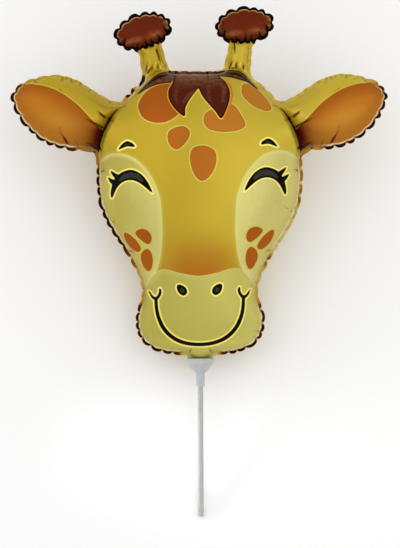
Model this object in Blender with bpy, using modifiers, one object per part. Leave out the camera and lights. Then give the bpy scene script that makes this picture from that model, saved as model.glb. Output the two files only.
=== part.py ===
"""A giraffe-head foil balloon on a plastic cup and stick, lying on its back with the stick's end on the floor.

Metres, +Z up. The balloon is drawn in its own plane first: x to the right, y towards the top of the
head and z out of the face, with the seam at z = 0 and the bottom of the chin at y = 0. An empty then tips
that plane, so that the back of the head and the tip of the stick both touch the floor.
"""

import math

import bmesh
import bpy
import numpy as np
from mathutils import Vector
from mathutils.geometry import delaunay_2d_cdt

# Balloon: the span is from ear tip to ear tip, blown up.
SPAN = 0.341
FULLNESS = 0.86  # half thickness of a long tube, as a share of its half width
FLANGE_WIDTH = 0.0030  # flat welded edge outside the air chamber
WELD_THICKNESS = 0.0008
SCALLOP_PITCH = 0.0105
SCALLOP_DEPTH = 0.0011  # how far a scallop stands out of the mean edge
PUCKER_DEPTH = 0.0011  # how far the film swells between two creases, beside the weld
PUCKER_REACH = 0.009  # distance from the weld at which a pucker has mostly gone
CORNER_REACH = 0.0042  # rounding of the notches between two lobes
RING_DEPTHS = (0.0040, 0.0095)  # rows of points inside the weld
INNER_PITCH = 0.0125  # spacing of the points in the middle of the sheets
FLAT_SPOT_DEPTH = 0.0042  # how far the back is pressed in where it lies on the floor

# Cup and stick
CUP_RIM_RADIUS = 0.0126
CUP_WALL = 0.0010
CUP_RIM_HEIGHT = 0.0034
CUP_CONE_HEIGHT = 0.0106
SOCKET_LENGTH = 0.0115
SOCKET_WALL = 0.0012
SOCKET_FLOOR = 0.0014
AIR_HOLE_RADIUS = 0.0012
STICK_RADIUS = 0.0024
STICK_WALL = 0.0007
STICK_SHOWING = 0.1170
FIT_GAP = 0.0003  # between two pieces that touch
NECK_SIDE_GAP = 0.0036  # from the balloon's neck to the inside of the cup's rim
CHIN_TO_RIM = 0.0030  # leaves room for the rounded corner between chin and neck

TURNED_STEPS = 32
SPLINE_STEPS = 8
LOBE_POINTS = 40  # points of a whole ellipse

# Half of the head's edge, from the top to the chin, as (half width, height) in shares of the span.
HEAD_HALF = (
    (0.000, 0.750), (0.095, 0.749), (0.158, 0.720), (0.220, 0.654), (0.258, 0.596),
    (0.272, 0.517), (0.270, 0.425), (0.248, 0.354), (0.190, 0.261), (0.157, 0.195),
    (0.155, 0.153), (0.171, 0.100), (0.159, 0.042), (0.100, 0.006), (0.000, 0.000),
)
# One ear, from its upper root round the tip to its lower root, in the same shares.
EAR = (
    (0.190, 0.655), (0.218, 0.669), (0.245, 0.680), (0.296, 0.712), (0.332, 0.732), (0.381, 0.743),
    (0.438, 0.733), (0.478, 0.716), (0.497, 0.691), (0.496, 0.669), (0.479, 0.631),
    (0.446, 0.589), (0.401, 0.558), (0.346, 0.543), (0.295, 0.540), (0.262, 0.528), (0.215, 0.570),
)
# The two horns differ: foot and top of the stem, then the knob's centre, half axes and tilt in degrees.
HORNS = (
    {"foot": (-0.113, 0.735), "top": (-0.132, 0.825), "knob": (-0.148, 0.857), "axes": (0.079, 0.049), "tilt": 16.0},
    {"foot": (0.098, 0.735), "top": (0.112, 0.830), "knob": (0.121, 0.871), "axes": (0.080, 0.050), "tilt": 6.0},
)
STEM_HALF_WIDTHS = (0.037, 0.030)  # at the foot and at the top, in shares of the span

# What follows from the values above
CUP_INNER_RADIUS = CUP_RIM_RADIUS - CUP_WALL
CUP_DEPTH = CUP_RIM_HEIGHT + CUP_CONE_HEIGHT
SOCKET_BORE = STICK_RADIUS + FIT_GAP
SOCKET_RADIUS = SOCKET_BORE + SOCKET_WALL
NECK_RADIUS = CUP_INNER_RADIUS - NECK_SIDE_GAP
CUP_TOP = -CHIN_TO_RIM
NECK_LENGTH = CUP_RIM_HEIGHT + 0.6 * CUP_CONE_HEIGHT


def clear_scene():
    """Removes the objects that a new scene starts with."""
    for obj in list(bpy.data.objects):
        bpy.data.objects.remove(obj)


def collection(name):
    """A collection of that name in the scene."""
    made = bpy.data.collections.new(name)
    bpy.context.scene.collection.children.link(made)
    return made


def material(name, colour, roughness, metallic):
    """A plain Principled material."""
    made = bpy.data.materials.new(name)
    made.use_nodes = True
    shader = made.node_tree.nodes["Principled BSDF"]
    shader.inputs["Base Color"].default_value = (*colour, 1.0)
    shader.inputs["Roughness"].default_value = roughness
    shader.inputs["Metallic"].default_value = metallic
    return made


def closed_spline(points):
    """A smooth closed curve through the points (Catmull-Rom), as an array of x, y."""
    points = np.array(points, float)
    before, after, beyond = (np.roll(points, shift, axis=0) for shift in (1, -1, -2))
    rows = []
    for t in np.linspace(0, 1, SPLINE_STEPS, endpoint=False):
        rows.append(0.5 * (
            2 * points
            + (after - before) * t
            + (2 * before - 5 * points + 4 * after - beyond) * t**2
            + (3 * points - before - 3 * after + beyond) * t**3
        ))
    return np.stack(rows, axis=1).reshape(-1, 2)


def mirrored(points):
    """The points on the other side of the head's middle, in the opposite order."""
    return [(-x, y) for x, y in reversed(points)]


def ellipse(centre, half_axes, tilt):
    """A closed ellipse whose long axis is tilted by that many degrees."""
    turn = np.linspace(0, 2 * math.pi, LOBE_POINTS, endpoint=False)
    x, y = half_axes[0] * np.cos(turn), half_axes[1] * np.sin(turn)
    c, s = math.cos(math.radians(tilt)), math.sin(math.radians(tilt))
    return np.stack([centre[0] + x * c - y * s, centre[1] + x * s + y * c], axis=1)


def stem(foot, top):
    """A straight strip from the head to the knob, a little wider at its foot."""
    foot, top = np.array(foot), np.array(top)
    along = (top - foot) / np.linalg.norm(top - foot)
    side = np.array([-along[1], along[0]])
    wide, narrow = STEM_HALF_WIDTHS
    return np.array([foot + side * wide, foot - side * wide, top - side * narrow, top + side * narrow])


def neck_half_width(y):
    """Half width of the air chamber in the neck, which narrows inside the cup's cone."""
    into_cone = np.clip((CUP_TOP - CUP_RIM_HEIGHT - y) / CUP_CONE_HEIGHT, 0, 1)
    return NECK_RADIUS * (1 - into_cone)


def neck():
    """The filling neck, from inside the chin down into the cup."""
    heights = CUP_TOP - np.array([-0.6, 0, 0.5, 0.8, 1.0]) * NECK_LENGTH
    half = neck_half_width(heights) + FLANGE_WIDTH * np.array([1, 1, 1, 0.9, 0.6])
    right = np.stack([half, heights], axis=1)
    return np.concatenate([right, right[::-1] * (-1, 1)])


def lobes():
    """Every lobe of the balloon as a closed loop, in metres."""
    head = closed_spline(list(HEAD_HALF) + mirrored(HEAD_HALF[1:-1])) * SPAN
    ears = [closed_spline(points) * SPAN for points in (EAR, mirrored(EAR))]
    horns = []
    for horn in HORNS:
        horns.append(stem(horn["foot"], horn["top"]) * SPAN)
        horns.append(ellipse(horn["knob"], horn["axes"], horn["tilt"]) * SPAN)
    return [head, *ears, *horns, neck()]


def outer_edge(loops):
    """The outline of the overlapping loops together, as one anticlockwise loop."""
    points = np.concatenate(loops)
    ends = np.cumsum([len(loop) for loop in loops])
    faces = [list(range(end - len(loop), end)) for end, loop in zip(ends, loops)]
    found = delaunay_2d_cdt([Vector(p) for p in points], [], faces, 1, 1e-7)
    corners, triangles = found[0], found[2]
    edges = {(t[i], t[i - 2]) for t in triangles for i in range(3)}
    following = {a: b for a, b in edges if (b, a) not in edges}
    start = min(following, key=lambda k: corners[k].y)
    order = [start]
    while following[order[-1]] != start:
        order.append(following[order[-1]])
    return np.array([corners[k][:] for k in order])


def evenly(loop, count):
    """A closed loop as that many points, equally far apart along it."""
    closed = np.vstack([loop, loop[:1]])
    along = np.concatenate([[0], np.cumsum(np.linalg.norm(np.diff(closed, axis=0), axis=1))])
    wanted = np.linspace(0, along[-1], count, endpoint=False)
    return np.stack([np.interp(wanted, along, closed[:, k]) for k in range(2)], axis=1)


def length_of(loop):
    """The length of a closed loop."""
    return np.linalg.norm(loop - np.roll(loop, 1, axis=0), axis=1).sum()


def rounded(loop):
    """The loop with its corners rounded, by averaging neighbours over the corner's reach."""
    fine = evenly(loop, 1200)
    step = length_of(fine) / len(fine)
    for _ in range(round((CORNER_REACH / step) ** 2)):
        fine = 0.5 * fine + 0.25 * (np.roll(fine, 1, axis=0) + np.roll(fine, -1, axis=0))
    return fine


def outward(loop):
    """Unit normals of an anticlockwise loop."""
    tangent = np.roll(loop, -1, axis=0) - np.roll(loop, 1, axis=0)
    normal = np.stack([tangent[:, 1], -tangent[:, 0]], axis=1)
    return normal / np.linalg.norm(normal, axis=1)[:, None]


def distance_to(loop, points):
    """Each point's distance to the nearest side of a closed loop."""
    start, side = loop, np.roll(loop, -1, axis=0) - loop
    to_point = points[:, None] - start[None]
    share = np.clip((to_point * side).sum(2) / (side**2).sum(1), 0, 1)
    return np.linalg.norm(to_point - share[..., None] * side, axis=2).min(axis=1)


def inside(loop, points):
    """Whether each point is inside a closed loop."""
    a, b = loop[None], np.roll(loop, -1, axis=0)[None]
    x, y = points[:, None, 0], points[:, None, 1]
    crosses = (a[..., 1] > y) != (b[..., 1] > y)
    rise = np.where(crosses, b[..., 1] - a[..., 1], 1.0)
    at = a[..., 0] + (y - a[..., 1]) * (b[..., 0] - a[..., 0]) / rise
    return (crosses & (x < at)).sum(axis=1) % 2 == 1


def thinned(points, values, gap):
    """The points, with their values, that stay once any closer than gap to an earlier one have gone."""
    kept = []
    for k, point in enumerate(points):
        if not kept or np.linalg.norm(points[kept] - point, axis=1).min() > gap:
            kept.append(k)
    return points[kept], values[kept]


def hexagonal(loop, depth):
    """Points of a hexagonal grid that lie deeper than that inside the loop."""
    low, high = loop.min(axis=0), loop.max(axis=0)
    rows = []
    for row, y in enumerate(np.arange(low[1], high[1], INNER_PITCH * math.sqrt(3) / 2)):
        half = np.arange(INNER_PITCH * (row % 2) / 2, high[0], INNER_PITCH)
        xs = np.unique(np.concatenate([-half, half]))
        rows.append(np.stack([xs, np.full_like(xs, y)], axis=1))
    grid = np.concatenate(rows)
    return grid[inside(loop, grid) & (distance_to(loop, grid) > depth)]


def sheet_points():
    """Points of one sheet: (points, swell, number on the edge). The edge comes first, then the weld."""
    edge = rounded(outer_edge(lobes()))
    scallops = round(length_of(edge) / SCALLOP_PITCH)
    edge = evenly(edge, 4 * scallops)
    normal = outward(edge)
    on_body = (edge[:, 1] > 0.1 * NECK_LENGTH) | (np.abs(edge[:, 0]) > 2 * NECK_RADIUS)
    swell = np.tile([1.0, 0.0, -1.0, 0.0], scallops) * on_body
    lobe = np.tile([1.0, 0.55, -1.0, 0.55], scallops) * on_body
    rim = edge + normal * (lobe * SCALLOP_DEPTH)[:, None]
    weld = edge - normal * FLANGE_WIDTH
    points, swells = [rim, weld], [swell * 0, swell * 0]
    last = FLANGE_WIDTH
    for depth in RING_DEPTHS:
        ring = edge[::2] - normal[::2] * (FLANGE_WIDTH + depth)
        clear = inside(edge, ring) & (distance_to(edge, ring) > 0.9 * (FLANGE_WIDTH + depth))
        ring, waves = thinned(ring[clear], swell[::2][clear], 0.6 * SCALLOP_PITCH / 2)
        points.append(ring)
        swells.append(waves * math.exp(-depth / PUCKER_REACH))
        last = FLANGE_WIDTH + depth
    grid = hexagonal(edge, last + 0.6 * INNER_PITCH)
    points.append(grid)
    swells.append(np.zeros(len(grid)))
    return np.concatenate(points), np.concatenate(swells), len(edge)


def triangulated(points, edge_count):
    """Triangles of the sheet, which keep the edge and the weld as their sides."""
    rings = [range(edge_count), range(edge_count, 2 * edge_count)]
    sides = [(ring[k - 1], ring[k]) for ring in rings for k in range(edge_count)]
    found = delaunay_2d_cdt([Vector(p) for p in points], sides, [list(rings[0])], 1, 1e-9)
    original = [given[0] for given in found[3]]
    return [[original[k] for k in triangle] for triangle in found[2]]


def swollen(points, triangles, fixed):
    """The membrane that a steady pressure lifts off the flat sheet, at each point, by linear elements."""
    stiffness = np.zeros((len(points), len(points)))
    load = np.zeros(len(points))
    for triangle in triangles:
        a, b, c = points[triangle]
        area = 0.5 * abs((b[0] - a[0]) * (c[1] - a[1]) - (b[1] - a[1]) * (c[0] - a[0]))
        opposite = np.array([c - b, a - c, b - a])
        stiffness[np.ix_(triangle, triangle)] += opposite @ opposite.T / (4 * area)
        load[triangle] += 2 * area / 3
    height = np.zeros(len(points))
    free = ~fixed
    height[free] = np.linalg.solve(stiffness[np.ix_(free, free)], load[free])
    return height


def half_thickness(points, swell, triangles, edge_count):
    """Half of the balloon's thickness at each point of the sheet."""
    fixed = np.arange(len(points)) < 2 * edge_count
    half = FULLNESS * np.sqrt(np.maximum(swollen(points, triangles, fixed), 0))
    in_neck = points[:, 1] < CUP_TOP
    tube = np.sqrt(np.maximum(neck_half_width(points[:, 1]) ** 2 - points[:, 0] ** 2, 0))
    half = np.where(in_neck & ~fixed, np.maximum(half, tube), half)
    half += PUCKER_DEPTH * swell
    half[:edge_count] = 0
    half[edge_count:] = np.maximum(half[edge_count:], WELD_THICKNESS / 2)
    return half


def rest_tilt(points, half, tip_y):
    """The tilt, in radians, at which the stick's end and the pressed-in back share one plane, and its height."""
    def floor_and_sink(tilt):
        tip = tip_y * math.sin(tilt) - STICK_RADIUS * math.cos(tilt)
        back = (points[:, 1] * math.sin(tilt) - half * math.cos(tilt)).min()
        return tip, tip - back

    low, high = 0.0, math.radians(40)
    for _ in range(50):
        middle = (low + high) / 2
        if floor_and_sink(middle)[1] > FLAT_SPOT_DEPTH:
            low = middle
        else:
            high = middle
    return high, floor_and_sink(high)[0]


def pressed(back, tilt, floor):
    """The back's points, with those below the floor moved straight up to it."""
    up = np.array([0, math.sin(tilt), math.cos(tilt)])
    return back + up * np.maximum(floor - back @ up, 0)[:, None]


def balloon_mesh(points, half, triangles, edge_count, tilt, floor):
    """The closed balloon: a front sheet, and a back sheet that shares its edge."""
    front = np.column_stack([points, half])
    back = pressed(np.column_stack([points, -half]), tilt, floor)
    bm = bmesh.new()
    front_verts = [bm.verts.new(p) for p in front]
    back_verts = front_verts[:edge_count] + [bm.verts.new(p) for p in back[edge_count:]]
    for a, b, c in triangles:
        bm.faces.new((front_verts[a], front_verts[b], front_verts[c]))
        bm.faces.new((back_verts[c], back_verts[b], back_verts[a]))
    bmesh.ops.recalc_face_normals(bm, faces=bm.faces)
    mesh = bpy.data.meshes.new("foil_balloon")
    bm.to_mesh(mesh)
    bm.free()
    mesh.shade_smooth()
    mesh.set_sharp_from_angle(angle=math.radians(50))
    return mesh


def turned(name, profile):
    """A ring turned about Z from a closed profile of (radius, height), given outer side first, top to bottom."""
    mesh = bpy.data.meshes.new(name)
    sides = [(k, (k + 1) % len(profile)) for k in range(len(profile))]
    mesh.from_pydata([(r, 0, z) for r, z in profile], sides, [])
    obj = bpy.data.objects.new(name, mesh)
    screw = obj.modifiers.new("Turn", "SCREW")
    screw.steps = screw.render_steps = TURNED_STEPS
    screw.use_merge_vertices = True
    screw.merge_threshold = 1e-5
    screw.use_smooth_shade = False
    return obj


def cup_profile():
    """The cup's section: rim, cone and socket outside, then the bore, the air hole and the bowl inside."""
    cone_end = -CUP_DEPTH
    socket_end = cone_end - SOCKET_LENGTH
    chamfer = SOCKET_WALL / 2
    bowl_floor = cone_end + CUP_WALL
    return [
        (CUP_RIM_RADIUS, 0),
        (CUP_RIM_RADIUS, -CUP_RIM_HEIGHT),
        (SOCKET_RADIUS, cone_end),
        (SOCKET_RADIUS, socket_end + chamfer),
        (SOCKET_RADIUS - chamfer, socket_end),
        (SOCKET_BORE, socket_end),
        (SOCKET_BORE, cone_end - SOCKET_FLOOR),
        (AIR_HOLE_RADIUS, cone_end - SOCKET_FLOOR),
        (AIR_HOLE_RADIUS, bowl_floor),
        (SOCKET_BORE, bowl_floor),
        (CUP_INNER_RADIUS, -CUP_RIM_HEIGHT),
        (CUP_INNER_RADIUS, 0),
    ]


def stick_ends():
    """The stick's two ends, as heights in the balloon's plane."""
    cone_end = CUP_TOP - CUP_DEPTH
    return cone_end - SOCKET_FLOOR - FIT_GAP, cone_end - SOCKET_LENGTH - STICK_SHOWING


def stick_profile():
    """The stick's section: a thin tube, with its upper end at height 0."""
    top, bottom = stick_ends()
    bore = STICK_RADIUS - STICK_WALL
    return [(STICK_RADIUS, 0), (STICK_RADIUS, bottom - top), (bore, bottom - top), (bore, 0)]


def in_plane(obj, height, parent):
    """Stands a turned piece in the balloon's plane, with its own top at that height and its axis along y."""
    obj.rotation_euler = (-math.pi / 2, 0, 0)
    obj.location = (0, height, 0)
    obj.parent = parent


def lay_down(pose, pieces, tilt, floor):
    """Tips the plane, with the floor at z = 0 and the middle of the object's box over the origin."""
    pose.rotation_euler = (tilt, 0, 0)
    bpy.context.view_layer.update()
    graph = bpy.context.evaluated_depsgraph_get()
    corners = []
    for piece in pieces:
        shown = piece.evaluated_get(graph)
        corners += [(shown.matrix_world @ v.co)[:] for v in shown.data.vertices]
    low, high = np.min(corners, axis=0), np.max(corners, axis=0)
    pose.location = (-(low[0] + high[0]) / 2, -(low[1] + high[1]) / 2, -floor)


def main():
    clear_scene()
    shown = collection("giraffe_balloon")
    pose = bpy.data.objects.new("balloon_plane", None)

    points, swell, edge_count = sheet_points()
    triangles = triangulated(points, edge_count)
    half = half_thickness(points, swell, triangles, edge_count)
    stick_top, stick_bottom = stick_ends()
    tilt, floor = rest_tilt(points, half, stick_bottom)

    mesh = balloon_mesh(points, half, triangles, edge_count, tilt, floor)
    balloon = bpy.data.objects.new("foil_balloon", mesh)
    balloon.parent = pose
    cup = turned("holder_cup", cup_profile())
    in_plane(cup, CUP_TOP, pose)
    stick = turned("stick", stick_profile())
    in_plane(stick, stick_top, pose)

    foil = material("printed_foil", (0.58, 0.40, 0.06), 0.3, 0.4)
    plastic = material("white_plastic", (0.82, 0.82, 0.84), 0.4, 0.0)
    for obj, finish in ((balloon, foil), (cup, plastic), (stick, plastic)):
        obj.data.materials.append(finish)
        shown.objects.link(obj)
    shown.objects.link(pose)
    lay_down(pose, (balloon, cup, stick), tilt, floor)


main()
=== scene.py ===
"""A giraffe-head foil balloon on its cup and stick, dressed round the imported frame.

The film is worked out in the plane of its seam, in millimetres: x to the right, y from the chin towards
the top of the head, z out of the face. One matrix then lays it down where the frame has it.
"""

import math

import bpy
import numpy as np
from mathutils import Matrix, Vector
from mathutils.geometry import delaunay_2d_cdt


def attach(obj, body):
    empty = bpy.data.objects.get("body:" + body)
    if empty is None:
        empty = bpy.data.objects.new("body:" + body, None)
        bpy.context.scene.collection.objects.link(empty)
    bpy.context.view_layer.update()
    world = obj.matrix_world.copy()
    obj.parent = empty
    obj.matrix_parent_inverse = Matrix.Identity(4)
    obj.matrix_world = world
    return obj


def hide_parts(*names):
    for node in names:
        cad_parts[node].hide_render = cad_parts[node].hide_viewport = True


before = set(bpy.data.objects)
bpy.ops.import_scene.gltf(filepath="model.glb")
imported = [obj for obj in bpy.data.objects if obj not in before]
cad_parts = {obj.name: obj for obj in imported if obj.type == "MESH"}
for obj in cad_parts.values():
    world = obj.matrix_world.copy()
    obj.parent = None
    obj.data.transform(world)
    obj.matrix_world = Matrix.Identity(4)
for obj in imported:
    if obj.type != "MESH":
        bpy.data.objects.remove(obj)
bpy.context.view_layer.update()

MM = 0.001

# Where the balloon's plane lies in the frame
TILT = math.radians(10.976)
PLANE_ORIGIN = Vector((0.0, -0.0830, 0.0301))

# Balloon
SPAN = 341.0
FULLNESS = 0.86  # half thickness of a long tube, as a share of its half width
FLANGE = 3.0  # flat welded edge
FILM = 0.28  # thickness of the welded edge
CORNER_REACH = 4.2
FINE_POINTS = 4000  # points of the edge while its corners are rounded
EDGE_POINTS = 1800
BAND_DEPTH = 3.6  # the strip beside the weld that is meshed in rows
SOLVE_ROWS = (1.0, 2.2, BAND_DEPTH)
BAND_ROWS = 11
FRONT_PITCH = 1.6  # spacing of the points inside the strip
BACK_PITCH = 2.4
FLANGE_ROWS = 3
PUCKER_PITCH = 10.6
SLACK_REACH = 7.0  # length over which the edge's turning is evened out
WELD_SHARE = 0.22  # how much of each scallop the weld line follows
NECK_ROUND = 8.0  # radius of the inflated neck in the cup
NECK_FLAT = (10.6, 8.5)  # half width and length of the neck's flat end
NECK_ROOT = 6.0  # the neck reaches this far up into the chin
CUP_TOP = -3.0

HEAD_HALF = (
    (0.000, 0.750), (0.095, 0.749), (0.158, 0.720), (0.220, 0.654), (0.258, 0.596),
    (0.272, 0.517), (0.270, 0.425), (0.248, 0.354), (0.190, 0.261), (0.157, 0.195),
    (0.155, 0.153), (0.171, 0.100), (0.159, 0.042), (0.100, 0.006), (0.000, 0.000),
)
EAR = (
    (0.190, 0.655), (0.218, 0.669), (0.245, 0.680), (0.296, 0.712), (0.332, 0.732), (0.381, 0.743),
    (0.438, 0.733), (0.478, 0.716), (0.497, 0.691), (0.496, 0.669), (0.479, 0.631),
    (0.446, 0.589), (0.401, 0.558), (0.346, 0.543), (0.295, 0.540), (0.262, 0.528), (0.215, 0.570),
)
# Horns: foot, top of the stem, middle of the knob, the knob's half axes and its tilt in degrees
HORNS = (
    ((-0.113, 0.735), (-0.132, 0.825), (-0.148, 0.857), (0.079, 0.049), 16),
    ((0.098, 0.735), (0.112, 0.830), (0.121, 0.871), (0.080, 0.050), 6),
)
HORN_LINE = 262.0  # above this height, in millimetres, the edge belongs to the horns
STEM_HALF_WIDTHS = (0.037, 0.030)
FOOT_Z = 0.0  # height of the floor in the frame
OUTSIDE = 60.0  # distance given to points that are far from a printed shape


# ---------------------------------------------------------------- plane geometry
def bend(a, b, c, d, t):
    """The place at share t of the way from b to c, on a Catmull-Rom curve through all four."""
    return 0.5 * (2 * b + (c - a) * t + (2 * a - 5 * b + 4 * c - d) * t**2 + (3 * b - a - 3 * c + d) * t**3)


def spline(points, steps=10):
    """A smooth closed curve through the points."""
    b = np.array(points, float)
    a, c, d = (np.roll(b, shift, axis=0) for shift in (1, -1, -2))
    rows = [bend(a, b, c, d, t) for t in np.linspace(0, 1, steps, endpoint=False)]
    return np.stack(rows, axis=1).reshape(-1, 2)


def mirrored(points):
    return [(-x, y) for x, y in reversed(points)]


def cos_sin(degrees):
    return math.cos(math.radians(degrees)), math.sin(math.radians(degrees))


def ellipse(centre, half_axes, tilt, turn=np.linspace(0, 2 * math.pi, 72, endpoint=False)):
    x, y = half_axes[0] * np.cos(turn), half_axes[1] * np.sin(turn)
    c, s = cos_sin(tilt)
    return np.stack([centre[0] + x * c - y * s, centre[1] + x * s + y * c], axis=1)


def stem_loop(foot, top):
    foot, top = np.array(foot), np.array(top)
    along = (top - foot) / np.linalg.norm(top - foot)
    side = np.array([-along[1], along[0]])
    wide, narrow = STEM_HALF_WIDTHS
    return np.array([foot + side * wide, foot - side * wide, top - side * narrow, top + side * narrow])


head_loop = spline(list(HEAD_HALF) + mirrored(HEAD_HALF[1:-1])) * SPAN
ear_loops = [spline(points) * SPAN for points in (EAR, mirrored(EAR))]
stem_loops = [stem_loop(foot, top) * SPAN for foot, top, *_ in HORNS]
horns = [(*(np.array(place) * SPAN for place in horn[:-1]), horn[-1]) for horn in HORNS]
knob_loops = [ellipse(knob, axes, tilt) for _, _, knob, axes, tilt in horns]
neck_loop = np.concatenate([
    [(NECK_FLAT[0], NECK_ROOT), (-NECK_FLAT[0], NECK_ROOT)], ellipse((0, CUP_TOP), NECK_FLAT, 0)[36:],
])


def signed(loop, points):
    """Distance from each point to a closed loop, negative inside it."""
    out = np.empty(len(points))
    a, b = loop, np.roll(loop, -1, axis=0)
    side = b - a
    length = np.maximum((side**2).sum(1), 1e-12)
    rise = np.where(side[:, 1] == 0, 1e-12, side[:, 1])
    for k in range(0, len(points), 4000):
        p = points[k:k + 4000]
        to = p[:, None] - a[None]
        share = np.clip((to * side).sum(2) / length, 0, 1)
        near = np.sqrt(((to - share[..., None] * side) ** 2).sum(2).min(1))
        y = p[:, None, 1]
        crosses = (a[None, :, 1] > y) != (b[None, :, 1] > y)
        at = a[None, :, 0] + (y - a[None, :, 1]) * side[None, :, 0] / rise
        odd = (crosses & (p[:, None, 0] < at)).sum(1) % 2 == 1
        out[k:k + 4000] = np.where(odd, -near, near)
    return out


def nearest(loop, points):
    """(distance, position along the loop as a fractional index) of each point's nearest place."""
    far, place = np.empty(len(points)), np.empty(len(points))
    side = np.roll(loop, -1, axis=0) - loop
    length = (side**2).sum(1)
    for k in range(0, len(points), 3000):
        p = points[k:k + 3000]
        coarse = ((p[:, None] - loop[None, ::4]) ** 2).sum(2).argmin(1) * 4
        ids = (coarse[:, None] + np.arange(-6, 7)[None]) % len(loop)
        to = p[:, None] - loop[ids]
        share = np.clip((to * side[ids]).sum(2) / length[ids], 0, 1)
        gap = ((to - share[..., None] * side[ids]) ** 2).sum(2)
        best = gap.argmin(1)
        rows = np.arange(len(p))
        far[k:k + 3000] = np.sqrt(gap[rows, best])
        place[k:k + 3000] = ids[rows, best] + share[rows, best]
    return far, place % len(loop)


def outer_edge(loops):
    points = np.concatenate(loops)
    ends = np.cumsum([len(loop) for loop in loops])
    faces = [list(range(end - len(loop), end)) for end, loop in zip(ends, loops)]
    found = delaunay_2d_cdt([Vector(p) for p in points], [], faces, 1, 1e-5)
    corners, triangles = found[0], found[2]
    edges = {(t[i], t[i - 2]) for t in triangles for i in range(3)}
    following = {a: b for a, b in edges if (b, a) not in edges}
    start = min(following, key=lambda k: corners[k].y)
    order = [start]
    while following[order[-1]] != start:
        order.append(following[order[-1]])
    return np.array([corners[k][:] for k in order])


def evenly(loop, count):
    closed = np.vstack([loop, loop[:1]])
    along = np.concatenate([[0], np.cumsum(np.linalg.norm(np.diff(closed, axis=0), axis=1))])
    wanted = np.linspace(0, along[-1], count, endpoint=False)
    return np.stack([np.interp(wanted, along, closed[:, k]) for k in range(2)], axis=1)


def mean_step(loop):
    return np.linalg.norm(loop - np.roll(loop, 1, axis=0), axis=1).sum() / len(loop)


def ring_smooth(values, passes):
    """Values round a closed ring, each averaged with its neighbours that many times."""
    for _ in range(passes):
        values = 0.5 * values + 0.25 * (np.roll(values, 1, axis=0) + np.roll(values, -1, axis=0))
    return values


def outward(loop):
    tangent = np.roll(loop, -1, axis=0) - np.roll(loop, 1, axis=0)
    normal = np.stack([tangent[:, 1], -tangent[:, 0]], axis=1)
    return normal / np.linalg.norm(normal, axis=1)[:, None]


def smoothstep(low, high, x):
    t = np.clip((x - low) / (high - low), 0, 1)
    return t * t * (3 - 2 * t)


edge = evenly(outer_edge([head_loop, *ear_loops, *stem_loops, *knob_loops, neck_loop]), FINE_POINTS)
edge = evenly(ring_smooth(edge, round((CORNER_REACH / mean_step(edge)) ** 2)), EDGE_POINTS)
edge_x, edge_y = edge.T
STEP = mean_step(edge)
PERIMETER = STEP * EDGE_POINTS

# How strongly the edge turns outwards, which is where the film has slack and puckers
tangent = np.roll(edge, -1, axis=0) - edge
heading = np.unwrap(np.arctan2(tangent[:, 1], tangent[:, 0]))
turning = np.diff(heading, append=heading[0] + 2 * math.pi) / STEP
turning = ring_smooth(turning, round((SLACK_REACH / STEP) ** 2))
slack = 0.35 + 0.65 * smoothstep(-0.012, 0.022, turning) + 0.35 * smoothstep(0.025, 0.06, turning)
in_cup = smoothstep(4.0, -1.0, edge_y) * smoothstep(17.0, 13.0, np.abs(edge_x))
slack *= 1 - in_cup

# How dark the print along the edge is, from film-coloured 0 to black-brown 1: (|x|, y, tone).
# The scallops are deepest where it is dark.
EDGE_TONES = (
    (0, 256, 0), (22, 256, 0.05), (58, 240, 0.12), (72, 227, 0.15), (85, 226, 0.1), (110, 246, 0.05),
    (135, 254, 0.05), (155, 248, 0.2), (165, 240, 0.8), (169, 228, 1), (160, 208, 1), (140, 192, 1),
    (120, 186, 0.9), (105, 183, 0.45), (95, 179, 0.5), (92, 160, 0.95), (92, 140, 1), (86, 120, 1),
    (74, 104, 1), (62, 88, 0.6), (54, 70, 0.3), (53, 56, 0.35), (58, 36, 0.9), (55, 16, 1), (40, 3, 1),
    (24, 1, 0.9), (12, 1, 0.1),
)
sites = np.array(EDGE_TONES)
apart = (np.abs(edge_x)[:, None] - sites[:, 0]) ** 2 + (edge_y[:, None] - sites[:, 1]) ** 2
pull = 1 / (apart + 30.0) ** 2
site_tone = pull @ sites[:, 2] / pull.sum(axis=1)
on_knob = np.maximum.reduce([smoothstep(1.6, 0.6, signed(loop, edge)) for loop in knob_loops])
site_tone = np.where(edge_y > HORN_LINE, 0.05, site_tone)
site_tone = np.maximum(site_tone * smoothstep(275, HORN_LINE, edge_y), on_knob)
for spot in ((-55.0, 248.5), (-63.5, 237.5)):  # two dark scallops beside the left horn's foot
    site_tone = np.maximum(site_tone, 0.95 * smoothstep(6.5, 4.0, np.linalg.norm(edge - spot, axis=1)))
cheek_height = smoothstep(84, 98, edge_y) * smoothstep(176, 166, edge_y)
right_cheek, left_cheek = cheek_height * (edge_x > 0), cheek_height * (edge_x < 0)
right_low = right_cheek * smoothstep(140, 130, edge_y)

# ---------------------------------------------------------------- puckers along the weld
rng = np.random.default_rng(11)
gaps = rng.uniform(0.72, 1.34, round(PERIMETER / PUCKER_PITCH))
crease_at = np.cumsum(gaps) / gaps.sum() * PERIMETER
crease_deep = rng.uniform(0.55, 1.25, len(gaps))
crease_long = rng.uniform(7.0, 14.0, len(gaps))
far_reaching = rng.random(len(gaps)) < 0.3
crease_long[far_reaching] = rng.uniform(20.0, 46.0, far_reaching.sum())
crease_skew = rng.uniform(-0.22, 0.22, len(gaps))
flip = rng.uniform(-1.0, 1.0, len(gaps))


def along_creases(s):
    """For positions along the edge: the crease before each, the share of the way to the next, and that way."""
    before = np.searchsorted(crease_at, s % PERIMETER, side="right") - 1
    after = (before + 1) % len(crease_at)
    width = (crease_at[after] - crease_at[before]) % PERIMETER
    share = ((s - crease_at[before]) % PERIMETER) / width
    return before, share, width


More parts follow.
